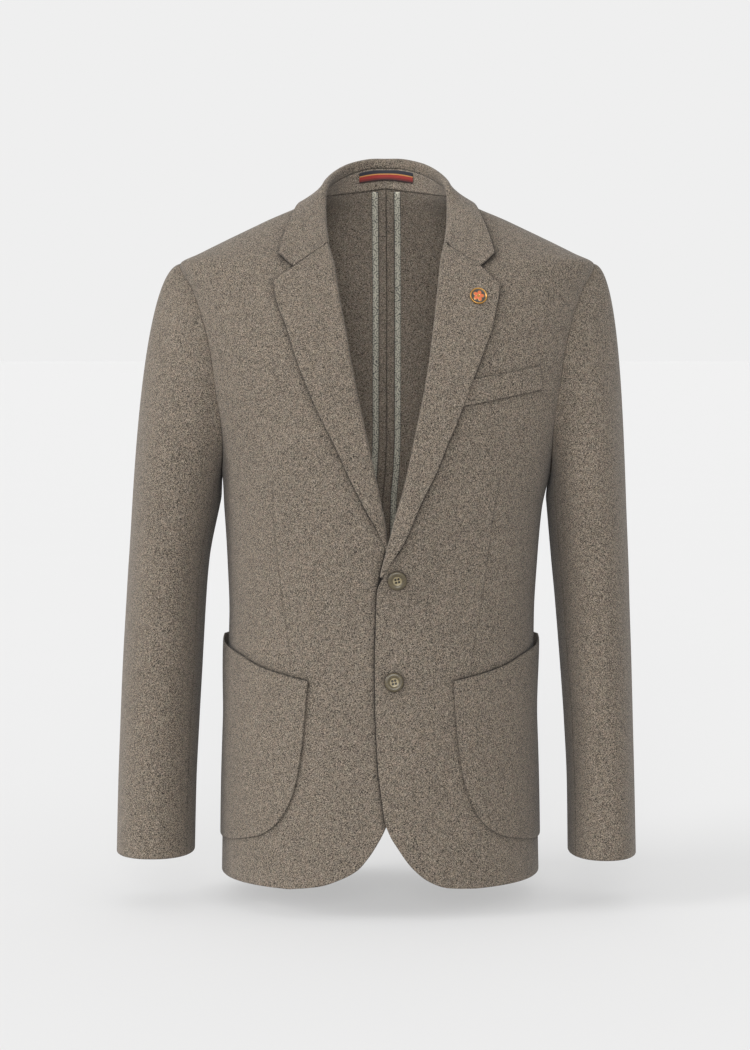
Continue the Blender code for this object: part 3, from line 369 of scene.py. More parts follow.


# %% [markdown]
# ## Soft folds
# The real cloth is thick and lies smooth, with a few shallow waves where it hangs free. Each row of the table is
# one wave: where its middle is, which way it runs, how long and wide it is and how high. A wave is a stretched
# bell, exp(-(along/length)^2 - (across/width)^2), and rows of opposite height beside each other make a fold.

# %% Folds placed one by one
# middle x, y, z; direction x, y, z; length, width, height; sizes in millimetres
FOLDS = np.array([
    (-110, -120, -330, 0.25, 0, 1, 90, 18, 0.9), (-140, -100, -300, 0.35, 0, 1, 70, 14, -0.8),
    (-60, -130, -470, -0.6, 0, 1, 80, 20, 0.7), (-90, -130, -440, -0.7, 0, 0.9, 70, 13, -0.7),
    (120, -110, -350, -0.2, 0, 1, 80, 17, 0.9), (145, -90, -320, -0.3, 0, 1, 65, 13, -0.8),
    (60, -130, -460, 0.9, 0, 0.45, 60, 16, 0.8), (75, -130, -430, 0.9, 0, 0.35, 50, 12, -0.6),
    (30, -140, -600, 0.1, 0, 1, 90, 22, 0.8), (-45, -140, -620, -0.1, 0, 1, 80, 20, 0.7),
    (-175, -30, -155, 0.1, 0, 1, 50, 12, -1), (178, -30, -160, -0.1, 0, 1, 55, 12, -1.1),
    (-244, -40, -250, 0, 0, 1, 90, 16, 1), (-216, -50, -300, 0.12, 0, 1, 85, 14, -1.2),
    (-262, -20, -430, -0.1, 0, 1, 80, 18, -0.9), (-235, -50, -540, 0.3, 0, 1, 50, 14, 1),
    (-225, -60, -585, 0.6, 0, 0.8, 35, 10, -0.9), (-262, -50, -660, 0.05, 0, 1, 50, 15, 0.8),
    (232, -40, -260, 0.05, 0, 1, 100, 15, 1), (212, -50, -310, -0.12, 0, 1, 75, 13, -1.2),
    (248, -20, -420, 0.08, 0, 1, 85, 17, -0.9), (225, -50, -530, -0.3, 0, 1, 55, 14, 1),
    (214, -60, -575, -0.6, 0, 0.8, 35, 10, -0.8), (246, -50, -665, 0.05, 0, 1, 45, 14, 0.8),
    (-80, 120, -160, 0.5, 0, 1, 70, 22, 1), (95, 120, -190, -0.4, 0, 1, 80, 20, 0.9),
    (-150, 80, -240, 0.2, 0, 1, 80, 14, -1.4), (150, 80, -250, -0.2, 0, 1, 75, 14, -1.3),
    (-60, 110, -440, 0.9, 0, 0.3, 70, 16, 1.2), (-50, 110, -475, 0.9, 0, 0.2, 60, 14, -1),
    (70, 110, -450, 0.95, 0, -0.25, 65, 15, 1.1), (60, 110, -485, 0.95, 0, -0.1, 55, 13, -0.9),
    (-80, 130, -620, 0.05, 0, 1, 100, 26, 1), (90, 130, -640, -0.05, 0, 1, 90, 24, 1.1)])
FOLDS[:, [0, 1, 2, 6, 7, 8]] *= 1e-3


def soft_folds(points):
    """The summed height of all waves at points: height exp(-(along/length)^2 - (across/width)^2)."""
    total = np.zeros(points.shape[:-1])
    for row in FOLDS:
        offset = points - row[:3]
        way = row[3:6] / np.linalg.norm(row[3:6])
        run = offset @ way
        across = np.linalg.norm(offset * (1, 0.35, 1) - run[..., None] * way, axis=-1)
        total += row[8] * np.exp(-((run / row[6]) ** 2) - (across / row[7]) ** 2)
    return total


def draped(name, grid, like, high=CLOTH, sewn=SEAMS, stored=None):
    """A shell on a grid that the waves' height has moved along its normals."""
    return shell(name, grid + grid_normals(grid, like) * soft_folds(grid)[..., None], like, 0.0, high, sewn, stored)


print("folds:", len(FOLDS))

# %% [markdown]
# ## Fronts, sides and back
# Each panel runs between two edges: for a front the neck, roll line and front edge on one side, and the shoulder,
# armhole and side seam on the other. Rows join equal shares of both, which keeps the panel free of twists.

# %% Panels
SHOULDER_ROWS, ARMHOLE_ROWS, SIDE_ROWS = 6, 9, 11
LAST_ROW = SHOULDER_ROWS + ARMHOLE_ROWS + SIDE_ROWS - 1


def row_places(per_row):
    """Row numbers with per_row steps between two of the solid's rows, and fine steps at both ends."""
    even = np.arange(0, LAST_ROW * per_row + 1) / per_row
    fine = EDGE_STEPS[1:] / 0.016
    keep = even[(even > 0.21) & (even < LAST_ROW - 0.21)]
    return np.concatenate([[0], fine, keep, LAST_ROW - fine[::-1], [LAST_ROW]])


def outer_path(v, start, turn, seam):
    """The shoulder seam, the armhole and the side seam, as angle and level, by row number."""
    top = armhole(turn)[1]
    shoulder = np.stack([0 * v, start + (TIP_Z - start) * np.clip(v / (SHOULDER_ROWS - 1), 0, 1)], -1)
    share = (v - SHOULDER_ROWS + 1) / ARMHOLE_ROWS
    begin = 0.0 if turn < np.pi else 2 * np.pi
    hole = armhole(begin + (turn - begin) * np.clip(share, 0, 1))
    low = np.clip((v - SHOULDER_ROWS + 1 - ARMHOLE_ROWS) / SIDE_ROWS, 0, 1)
    side = np.stack([seam[0] + (seam[1] - seam[0]) * low, top + (SIDE_HEM_Z - top) * low], -1)
    return np.where((share < 0)[:, None], shoulder, np.where((low > 0)[:, None], side, hole))


def front_paths(side, v):
    """A front's inner and outer edge by row number."""
    edge, break_z = (LEFT_EDGE, -0.404) if side > 0 else (RIGHT_EDGE, -0.392)
    held = edge.copy()
    held[:, 0] += TUCK * smoothstep(break_z - 0.004, break_z + 0.003, edge[:, 1])
    held[:3, 0] += (0.0026, 0.0020, 0.0008)
    inner = np.vstack([NECK_EDGE[:-1], held])
    share = arc_length(inner)
    levels = np.linspace(inner[0, 1], -0.628, LAST_ROW + 1 - 6)
    start_cut = np.interp(0.628, -inner[:, 1], share)
    places = np.concatenate([np.interp(-levels, -inner[:, 1], share), np.linspace(start_cut, 1, 7)[1:]])
    path = through(inner, np.interp(v, np.arange(LAST_ROW + 1), places))
    return with_angle(path), outer_path(v, NECK_SIDE_Z - 0.003, FRONT_TURN, FRONT_SEAM)


def with_angle(outline):
    """Places by distance from the middle and level, as places by angle and level."""
    return np.stack([angle_at(outline[:, 0], outline[:, 1]), outline[:, 1]], -1)


def between(first, last, share):
    """Straight rows from one edge to the other, in angle and level."""
    return first[:, None, :] * (1 - share)[None, :, None] + last[:, None, :] * share[None, :, None]


def on_body(places, side, out=0.0):
    """The points of a grid of angles and levels, and for each a vector that points out."""
    grid = body_point(places[..., 0], places[..., 1], side, out)
    return grid, body_point(places[..., 0], places[..., 1], side, out + 0.001) - grid


def dart_line(x, z):
    """The sideways distance to the front dart, below 0 on one side, and a depth that fades out at its upper end."""
    line = along(-DART[:, 1], DART[:, 0], np.clip(-z, -DART[0, 1], -DART[-1, 1]))
    return x - line, smoothstep(DART[0, 1] + 0.004, DART[0, 1] - 0.030, z) * (z > DART[-1, 1])


def round_the_body(angle, z):
    """The length along a level section from the middle of the front to an angle, as a sum of short steps."""
    turn = np.pi / 2 + (angle - np.pi / 2) * np.linspace(0, 1, 41).reshape(-1, *[1] * np.ndim(angle))
    points = bare_form(turn, z + 0 * turn, 1)
    return np.linalg.norm(np.diff(points, axis=0), axis=-1).sum(axis=0) * np.where(angle > np.pi / 2, -1, 1)


def outline_distance(angle, z, outline):
    """The distance along the cloth to a closed outline, below 0 inside it. A point is inside where a level line
    from it crosses the outline an odd number of times."""
    at = np.stack([round_the_body(angle, z), z], -1)[..., None, :]
    start = np.stack([round_the_body(*outline.T), outline[:, 1]], -1)
    way = np.roll(start, -1, axis=0) - start
    share = np.clip(((at - start) * way).sum(-1) / (way**2).sum(-1), 0, 1)
    far = np.linalg.norm(at - start - share[..., None] * way, axis=-1).min(axis=-1)
    crosses = (start[:, 1] > at[..., 1]) != (np.roll(start[:, 1], -1) > at[..., 1])
    rise = np.where(np.abs(way[:, 1]) < 1e-9, 1e-9, way[:, 1])
    left = at[..., 0] < start[:, 0] + (at[..., 1] - start[:, 1]) / rise * way[:, 0]
    return far * np.where((crosses & left).sum(axis=-1) % 2 == 1, -1, 1)


def pocket_covers():
    """A strip along a pocket's open mouth, with deeper painted shade, and the whole pocket, with lighter painted shade.
    """
    mouth = np.vstack([with_angle(POCKET_MOUTH), [(0, POCKET_SIDE_Z), (POCKET_BACK, POCKET_SIDE_Z + 0.002)]])
    strip = np.vstack([mouth, (mouth - (0, 0.004))[::-1]])
    foot = np.array([(POCKET_BACK, -0.650), (POCKET_BACK + 2 * DEG, -0.672), (POCKET_BACK + 6 * DEG, -0.686),
                     (4 * DEG, -0.693), (16 * DEG, -0.694)])
    return [(strip, 1.25), (np.vstack([mouth, foot, with_angle(POCKET_SIDE)[:0:-1]]), 0.45)]


def front_covers(side):
    """The outlines of what lies on a front, each with the depth of the painted shade beside it: lapel and collar,
    pocket, and the welt and buttons or the upper front.
    """
    edge, lapel, shown = (LEFT_EDGE, LEFT_LAPEL, LEFT_LAPEL[:-1]) if side > 0 else (RIGHT_EDGE, *[RIGHT_LAPEL] * 2)
    turned = np.vstack([[NOTCH], shown, edge[(edge[:, 1] > lapel[-1, 1])][::-1]])
    collar = np.vstack([with_angle(np.vstack([NECK_EDGE, [NOTCH], FRONT_FALL_EDGE[2:]])), COLLAR_SIDE * (DEG, 1)])
    found = [*pocket_covers(), (with_angle(turned), 1.3), (collar, 1.1)]
    if side > 0:
        turn = np.linspace(0, 2 * np.pi, 25)[:-1]
        ring = BUTTON_RADIUS * np.stack([np.cos(turn), np.sin(turn)], -1)
        return found + [(with_angle(WELT), 0.55)] + [(with_angle(ring + place), 0.6) for place in BUTTONS.values()]
    upper = LEFT_EDGE[LEFT_EDGE[:, 1] < -0.36] * (-1, 1)
    return found + [(with_angle(np.vstack([upper, [(-0.12, -0.74), (-0.12, -0.36)]])), 1.45)]


def shaded_by(places, outlines):
    """The distance to the nearest of several outlines, and the depth of the painted shade beside that one."""
    far = np.stack([outline_distance(places[..., 0], places[..., 1], outline) for outline, depth in outlines])
    depths = np.array([depth for outline, depth in outlines])
    return {"cover": far.min(axis=0), "painted_shade_depth": depths[far.argmin(axis=0)]}


def front_shell(side, word):
    """A front: rows between its two edges, the left one lifted over the right one."""
    places = between(*front_paths(side, row_places(7)), stations(110, 0.24))
    x, z = local_x(places[..., 0], places[..., 1]), places[..., 1]
    crease, depth = dart_line(x, z)
    # the dart, and the distance and depth for the painted shade beside the pieces on this front
    stored = {"crease": crease, "crease_depth": depth, **shaded_by(places, front_covers(side))}
    return draped(f"front_cloth_{word}", *on_body(places, side, overlap_lift(x, z, side)), sewn=("last", "top"),
                  stored=stored)


def side_shell(side, word):
    """A side panel: from the armhole's foot straight down to the hem."""
    turns = FRONT_TURN + (BACK_TURN - FRONT_TURN) * stations(16, 0.08)
    share = stations(90, 0.45)[:, None, None]
    foot = np.stack([np.interp(turns, (FRONT_TURN, BACK_TURN), (FRONT_SEAM[1], BACK_SEAM[1])),
                     np.full(len(turns), SIDE_HEM_Z)], -1)
    places = armhole(turns)[None] * (1 - share) + foot[None] * share
    # distance and depth for the painted shade beside the pockets
    return draped(f"side_cloth_{word}", *on_body(places, side), stored=shaded_by(places, pocket_covers()))


def back_levels(v):
    """The levels of the back's rows at its middle seam."""
    knots = np.cumsum([0, SHOULDER_ROWS - 1, ARMHOLE_ROWS, SIDE_ROWS])
    return np.interp(v, knots, [NAPE_Z, -0.090, -0.272, BACK_HEM_Z])


def back_shell(side, word):
    """Half of the back: rows from its middle seam to the shoulder, armhole and side seam."""
    v = row_places(6)
    inner = np.stack([np.full(len(v), -np.pi / 2), back_levels(v)], -1)
    places = between(inner, outer_path(v, NECK_SIDE_Z - 0.0012, BACK_TURN, BACK_SEAM), stations(48, 0.24))
    # the collar's outline on the back, for the painted shade below its edge
    collar = np.vstack([FALL_EDGE_BACK * (DEG, 1), [(0, 0.02), (-np.pi / 2, 0.02)]])
    return draped(f"back_cloth_{word}", *on_body(places, side), stored=shaded_by(places, [(collar, 1.0)]))


cloth = {}
for side, word in WORDS.items():
    cloth[f"front_{word}"] = front_shell(side, word)
    cloth[f"side_{word}"] = side_shell(side, word)
    cloth[f"back_{word}"] = back_shell(side, word)

# %% [markdown]
# ## Sleeves
# A sleeve leaves the armhole sideways, turns down over its head and then runs as a tube of rounded sections. The
# head is one smooth curve from the armhole's edge to the first level ring, so it has no corner at the top of the arm.

# %% Sleeves
def sleeve_ring(rows, turn, z, side):
    """A level ring: depth follows from half width and girth, sqrt(2 (girth / 2 pi)^2 - half^2)."""
    middle, half, girth, y = np.moveaxis(along(-rows[:, 0], rows[:, 1:], -z), -1, 0)
    depth = np.sqrt(2 * (girth / (2 * np.pi)) ** 2 - half**2)
    c, s = rounded(turn, SLEEVE_POWER)
    return np.stack([side * (middle + half * c), y - depth * s, z + 0 * turn], -1)


def sleeve_grid(side, turns):
    """Head: a cubic from the armhole to the first ring. Below it: rings down to the cuff."""
    rows = LEFT_SLEEVE if side > 0 else RIGHT_SLEEVE
    hole = armhole(turns)
    inner = (CLOTH + LAP_GAP) * smoothstep(100, 160, np.abs(np.mod(turns / DEG + 180, 360) - 180))
    start = body_point(hole[:, 0], hole[:, 1], side, CLOTH * 0.55 + 1.4 * inner)
    top, cuff = rows[0, 0], rows[-1, 0]
    end, below = (sleeve_ring(rows, turns, np.full(len(turns), z), side) for z in (top, top - 0.01))
    reach = np.linalg.norm(end - start, axis=1, keepdims=True)
    up = np.cos(turns)
    leave = unit(np.stack([side * (0.78 + 0.22 * up), -0.30 * np.sin(turns), -0.45 + 0.33 * up], -1))
    share = np.concatenate([EDGE_STEPS / 0.2, np.linspace(EDGE_STEPS[-1] / 0.2, 1, 56)[1:]])[:, None, None]
    head = cubic(share, start, end, HEAD_PUSH[side > 0] * reach * leave, HEAD_FALL * reach * unit(below - end))
    levels = np.concatenate([np.linspace(top, cuff + EDGE_STEPS[-1], 84)[1:], cuff + EDGE_STEPS[-2::-1]])
    return np.concatenate([head, sleeve_ring(rows, turns[None, :], levels[:, None] + 0 * turns[None, :], side)])


def sleeve_shell(side, name, turns):
    """The upper or the under part of a sleeve, with its wall outside the grid."""
    grid = sleeve_grid(side, turns)
    centre = sleeve_grid(side, np.linspace(0, 2 * np.pi, 25)[:-1]).mean(axis=1, keepdims=True)
    return draped(name, grid, unit(grid - centre))


start, end = UNDER_SLEEVE
for side, word in WORDS.items():
    turns = end - 2 * np.pi + (start - end + 2 * np.pi) * stations(74, 0.28)
    cloth[f"top_sleeve_{word}"] = sleeve_shell(side, f"upper_sleeve_cloth_{word}", turns)
    turns = start + (end - start) * stations(22, 0.10)
    cloth[f"under_sleeve_{word}"] = sleeve_shell(side, f"under_sleeve_cloth_{word}", turns)

# %% [markdown]
# ## Lapels and collar
# A lapel is cloth turned out along the roll line: a short inner layer, a half round over the front's edge and a
# broad outer layer that stands off a little more towards its own edge. The collar is the same fold carried round
# the neck: it starts upright at the back and leans over until it lies on the fronts.

# %% Lapels
def half_round(place, normal, away, fold, count):
    """centre + fold (normal sin t - away cos t), for t from -90 to 90 degrees."""
    fold = np.broadcast_to(fold, len(place))[:, None]
    centre = place + away * (fold + TURNED / 2)
    t = np.linspace(-np.pi / 2, np.pi / 2, count)[:, None]
    ring = normal[..., None, :] * np.sin(t) - away[..., None, :] * np.cos(t)
    return centre[..., None, :] + fold[..., None] * ring


def gorge_at(start, corner, share):
    """A place on a top edge that bends at the notch, 0.62 of the way along."""
    notch, bend = np.array(NOTCH), 0.62
    if share < bend:
        return start + (notch - start) * share / bend
    return notch + (corner - notch) * (share - bend) / (1 - bend)


def lapel_grid(side, rows, shares):
    """Inner layer, half round and outer layer of a lapel, one row for each place down the roll line."""
    edge, lapel, last = (LEFT_EDGE, LEFT_LAPEL, -0.4045) if side > 0 else (RIGHT_EDGE, RIGHT_LAPEL, -0.388)
    roll = through(edge, rows * np.interp(-last, -edge[:, 1], arc_length(edge)))
    tip = smoothstep(0.90, 1.0, rows)
    outer = roll + (through(lapel, rows) - roll) * (1 - 0.3 * tip)[:, None]
    fold = FOLD * (1 - 0.45 * tip)
    x, z = roll[:, 0], roll[:, 1]
    normal = front_frame(x, z, side)[1]
    middle = front_point(x, z, side, CLOTH / 2)
    away = unit(np.cross(unit(np.gradient(middle, axis=0)), normal))
    away *= np.sign(away[:, :1]) * side
    arc = half_round(middle, normal, away, fold, 15)
    low = smoothstep(0.80, 0.86, rows)[:, None]
    across = unit(unit(outer - roll) * (1 - low) + unit(np.array([1.0, 0.35])) * low)
    inner = []
    for reach in np.linspace(FOLD_REACH, FOLD_REACH / 5, 5):
        at = roll + across * (fold + TURNED / 2 + reach)[:, None]
        inner.append(front_point(at[:, 0], at[:, 1], side, CLOTH / 2 - fold))
    start = roll + across * (fold + TURNED / 2)[:, None]
    fade = (1 - smoothstep(0.0, 0.30, rows))[:, None]
    sheet = []
    for share in shares:
        at = start + (outer - start) * share
        at = at + fade * (gorge_at(start[0], outer[0], share) - at[0])
        sheet.append(front_point(at[:, 0], at[:, 1], side, CLOTH / 2 + fold + LAPEL_LIFT * share * (1 - tip)))
    return np.concatenate([np.stack(inner, 1), arc, np.stack(sheet, 1)], axis=1)


def folded_shell(name, grid, first, sewn):
    """A shell whose wall lies half to each side of the grid, with its outside away from the middle of the fold."""
    like = unit(grid - grid[:, first:first + 15].mean(axis=1, keepdims=True))
    return shell(name, grid, like, -TURNED / 2, TURNED / 2, sewn)


for side, word in WORDS.items():
    grid = lapel_grid(side, stations(80, 0.34), stations(38, 0.08)[1:])
    cloth[f"lapel_{word}"] = folded_shell(f"lapel_cloth_{word}", grid, 5, ("top",))

# %% Collar
def centred(point, x_z, *rest):
    """A point of the form less the body's sideways shift at its level."""
    found = point(x_z[:, 0], x_z[:, 1], 1, *rest)
    found[:, 0] -= body_rows(x_z[:, 1])[3]
    return found


def collar_lines(shares, arc_count):
    """Profiles of the collar's left half at eight places from the back's middle to the gorge: the stand from
    its foot to its seam, the half round, and the fall to its edge."""
    line = FRONT_ROLL + ((0, 0), (0, 0), (-0.0002, -0.0005))
    roll = np.vstack([ROLL_STATIONS[:, :3], centred(front_point, line, CLOTH / 2)])
    turned = np.concatenate([ROLL_STATIONS[:, 3], [62, 78, 88]])[:, None] * DEG
    ahead = centred(front_point, np.array([(0.0552, -0.079)]), CLOTH / 2)
    tangent = unit(np.gradient(np.vstack([roll, ahead]), axis=0)[:8])
    tangent[0] = (1, 0, 0)
    flat = unit(np.stack([-tangent[:, 1], tangent[:, 0], 0 * tangent[:, 0]], -1))
    flat *= np.where(flat[:, :1] * roll[:, :1] + flat[:, 1:2] * (roll[:, 1:2] + 0.02) < 0, -1.0, 1.0)
    upright = unit(np.cross(flat, tangent))
    upright *= np.where(upright[:, 2:] < 0, -1.0, 1.0)
    crest = np.cos(turned) * upright - np.sin(turned) * flat
    over = np.sin(turned) * upright + np.cos(turned) * flat
    over[5:] = front_frame(line[:, 0], line[:, 1], 1)[1]
    crest[5:] = unit(np.cross(tangent[5:], over[5:]))
    crest[5:] *= np.where(crest[5:, :1] > 0, -1.0, 1.0)
    arc = half_round(roll, over, -crest, FOLD, arc_count)
    side_z = NECK_SIDE_Z - 0.0012
    foot_z = side_z + (NAPE_Z - side_z) * np.abs(STAND_FOOT) / (np.pi / 2)
    foot = np.zeros((8, 3))
    foot[:5] = body_point(STAND_FOOT, foot_z + 0.0001, 1, CLOTH / 2)
    foot[:5, 0] -= body_rows(foot_z)[3]
    foot[4] = arc[4, 0] - crest[4] * 0.0075
    foot[5:] = centred(front_point, line + (FOLD + TURNED / 2 + FOLD_REACH, 0), -0.0027)
    edge = centred(body_point, FALL_EDGE_BACK * (DEG, 1), CLOTH + 0.0024 + TURNED / 2)
    begin = line + (FOLD + TURNED / 2, 0)
    sheet = np.zeros((8, len(shares), 3))
    start = arc[:5, -1]
    control = start - crest[:5] * 0.35 * np.linalg.norm(edge - start, axis=1, keepdims=True)
    for k, share in enumerate(shares):
        sheet[:5, k] = (1 - share) ** 2 * start + 2 * share * (1 - share) * control + share**2 * edge
        at = begin + (FRONT_FALL_EDGE - begin) * share
        at[2] = gorge_at(begin[2], FRONT_FALL_EDGE[2], share)
        at[2, 1] -= (0.0002 + 0.0023 * min(share / 0.05, 1)) * max(1 - share / 0.62, 0)
        out = CLOTH / 2 + FOLD + np.array([0.0031, 0.0029, LAPEL_LIFT]) * share ** np.array([0.6, 0.6, 1.0])
        sheet[5:, k] = centred(front_point, at, out)
    seam = arc[:, 0] - crest * np.array([1, 1, 1, 0.8, 0.45, 0.35, 0.35, 0.35])[:, None] * STAND_SEAM_DROP
    rise = np.linspace(0, 1, 12)[:, None]
    return foot[:, None] * (1 - rise) + seam[:, None] * rise, seam, arc, sheet


def both_sides(profiles, per_place):
    """Cubic pieces through the eight profiles, then the mirror image, shifted as the neck is."""
    flat = profiles.reshape(len(profiles), -1)
    finer = np.unique(np.concatenate([np.linspace(0, 7, 7 * per_place + 1), 7 - EDGE_STEPS / 0.021]))
    slope = np.gradient(flat, axis=0)
    slope[0].reshape(-1, 3)[:, 1:] = 0
    i = np.clip(finer.astype(int), 0, 6)
    half = cubic((finer - i)[:, None], flat[i], flat[i + 1], slope[i], slope[i + 1]).reshape(len(finer), -1, 3)
    return np.concatenate([half[:0:-1] * (-1, 1, 1), half]) + (body_rows(NECK_SIDE_Z)[3], 0, 0)


stand, seam, arc, sheet = collar_lines(stations(34, 0.05)[1:], 15)
band = both_sides(stand, 14)
rise = np.array([0.25, 0.5, 0.75])[:, None]
below_arc = seam[:, None] * (1 - rise) + arc[:, :1] * rise
fall = both_sides(np.concatenate([seam[:, None], below_arc, arc, sheet], axis=1), 14)
inward = np.array([body_rows(NECK_SIDE_Z)[3], -0.02, 0.0])
cloth["collar_stand"] = shell("collar_stand_cloth", band, unit(inward - band), -CLOTH / 2, CLOTH / 2, EDGES)
cloth["collar_fall"] = folded_shell("collar_fall_cloth", fall, 4, ("top", "bottom", "first"))

# %% [markdown]
# ## Patch pockets and breast welt
# A patch pocket is a plain piece sewn on at its sides and foot, so it lies close there and stands off a little
# at its mouth. It reaches round the side seam. The welt is a folded strip that runs in under the lapel.

# %% Pockets and welt
def pocket_shell(side, word):
    """Rows from the mouth down between the front curve and the side, bent down along the foot."""
    down, over = stations(56, 0.19), stations(54, 0.15)
    mouth = with_angle(POCKET_MOUTH)
    mouth_angle, mouth_z = np.append(mouth[:, 0], 0), np.append(mouth[:, 1], POCKET_SIDE_Z)
    back_top = POCKET_SIDE_Z + 0.0020
    corner = np.sqrt(np.clip(1 - (np.clip(down - 0.82, 0, 1) / 0.18) ** 2, 0, 1))
    end = np.stack([POCKET_BACK + (1 - corner) * 12 * DEG, back_top + (POCKET_FOOT_Z - back_top) * down], -1)
    places = between(with_angle(through(POCKET_SIDE, down)), end, over)
    wanted = along(-mouth_angle, mouth_z, np.clip(-places[0, :, 0], -mouth_angle[0], 0))
    wanted[places[0, :, 0] < 0] = back_top
    places[:, :, 1] += (wanted - places[0, :, 1])[None, :] * ((1 - down) ** 1.5)[:, None]
    places[:, :, 1] -= (np.sin(over * np.pi) * 0.006)[None, :] * smoothstep(0.6, 1.0, down)[:, None]
    open_part = smoothstep(0.40, 0.80, over) * (1 - smoothstep(0.86, 1.0, over))
    gape = POCKET_GAPE * open_part[None, :] * (1 - smoothstep(0.0, 0.42, down))[:, None]
    bulge = 0.0006 + 0.0006 * np.sin(np.pi * over)[None, :] * np.sin(np.pi * down)[:, None]
    lift = overlap_lift(local_x(places[..., 0], places[..., 1]), places[..., 1], side)
    return draped(f"pocket_cloth_{word}", *on_body(places, side, CLOTH + bulge + gape + lift), sewn=())


def welt_shell():
    """A four-sided strip between two straight edges on the left front."""
    u, v = stations(40, 0.09)[:, None], stations(12, 0.026)[:, None, None]
    at = (WELT[0] + (WELT[1] - WELT[0]) * u) * (1 - v) + (WELT[3] + (WELT[2] - WELT[3]) * u) * v
    grid = front_point(at[..., 0], at[..., 1], 1, CLOTH)
    return draped("welt_cloth", grid, front_point(at[..., 0], at[..., 1], 1, CLOTH + 0.001) - grid, 0.0017, ())


for side, word in WORDS.items():
    cloth[f"patch_pocket_{word}"] = pocket_shell(side, word)
cloth["breast_welt"] = welt_shell()

# %% [markdown]
# ## Inside the back
# The open neck shows the inside of the back: the middle seam's turned edges, each bound with a light tape, and a
# ribbon loop across the collar's stand. The tapes and turnings are narrow strips a wall's thickness inside.

# %% Turnings, tapes and loop
def strip_shell(name, side, start, width, high):
    """A strip down the inside of the back, between two distances from the middle seam and 0.4 mm inside."""
    z = np.clip(back_levels(row_places(5)), BACK_HEM_Z + 0.004, NAPE_Z - 0.002)
    z = np.unique(np.concatenate([z, [BACK_HEM_Z + 0.0043, NAPE_Z - 0.0023]]))[::-1]
    z, x = np.meshgrid(z, start + width * stations(8, width * 2), indexing="ij")
    grid, outward = on_body(np.stack([-angle_at(x, z), z], -1), side)
    return shell(name, grid, -outward, 0.0004, high, stored={"run": z, "across": side * (x - start - width / 2)})


for side, word in WORDS.items():
    cloth[f"seam_turning_{word}"] = strip_shell(f"turning_{word}", side, 0.00015, TURNING_WIDTH - 0.0003, 0.0022)
    cloth[f"binding_{word}"] = strip_shell(f"tape_{word}", side, TURNING_WIDTH + 0.00015, BINDING_WIDTH, 0.0030)


def loop_shell():
    """A ribbon on the stand: its ends are sewn down and its middle bows 1.4 mm into the neck."""
    middle = body_rows(NECK_SIDE_Z)[3]
    u, v = stations(44, 0.06), stations(10, 0.0125)
    x = middle - 0.0295 + 0.059 * u
    keep = np.abs(band[:, 0, 0] - middle) < 0.05
    low, high = band[keep, 0], band[keep, -1]
    rows = []
    for share in 0.42 + 0.51 * (1 - v):
        line = (low + (high - low) * share)[np.argsort(low[:, 0])]
        y = np.interp(x, line[:, 0], line[:, 1]) - CLOTH / 2 - 0.0006 - 0.0014 * np.cos((u - 0.5) * np.pi)
        rows.append(np.stack([x, y, np.interp(x, line[:, 0], line[:, 2])], -1))
    grid = np.stack(rows)
    run, across = np.broadcast_arrays(x[None] - middle, 1 - v[:, None])
    return shell("loop_ribbon", grid, 0 * grid + (0, -1, 0), 0.0, 0.0008, stored={"run": run, "across": across})


cloth["hanger_loop"] = loop_shell()

# %% [markdown]
# ## Shader maths
# A finish is a sum of small patterns. Written as plain Python expressions these stay readable, so a small class
# wraps a socket and each operator adds one Math node.

# %% Expressions on sockets
class Value:
    """A number that varies over a surface. An expression on it adds Math nodes."""

    def __init__(self, tree, socket):
        self.tree, self.socket = tree, socket

    def math(self, operation, first, second=None):
        """One Math node, whose inputs are numbers or other values."""
        node = self.tree.nodes.new("ShaderNodeMath")
        node.operation = operation
        for k, item in enumerate((first, second)):
            if isinstance(item, Value):
                self.tree.links.new(item.socket, node.inputs[k])
            elif item is not None:
                node.inputs[k].default_value = item
        return Value(self.tree, node.outputs[0])

    def __add__(self, other): return self.math("ADD", self, other)
    def __radd__(self, other): return self.math("ADD", other, self)
    def __sub__(self, other): return self.math("SUBTRACT", self, other)
    def __rsub__(self, other): return self.math("SUBTRACT", other, self)
    def __mul__(self, other): return self.math("MULTIPLY", self, other)
    def __rmul__(self, other): return self.math("MULTIPLY", other, self)
    def __truediv__(self, other): return self.math("DIVIDE", self, other)
    def __pow__(self, other): return self.math("POWER", self, other)
    def __neg__(self): return self.math("MULTIPLY", self, -1.0)
    def __abs__(self): return self.math("ABSOLUTE", self)
    def sin(self): return self.math("SINE", self)
    def root(self): return self.math("SQRT", self)
    def fraction(self): return self.math("FRACT", self)
    def least(self, other): return self.math("MINIMUM", self, other)
    def most(self, other): return self.math("MAXIMUM", self, other)

    def bell(self, width):
        """exp(-(self / width)^2)."""
        return self.math("EXPONENT", -(self / width) ** 2.0)

    def over(self, edge, soft):
        """0 below edge and 1 above edge + soft."""
        return ((self - edge) / soft).within()

    def within(self):
        """The value cut off at 0 and at 1."""
        return self.most(0.0).least(1.0)


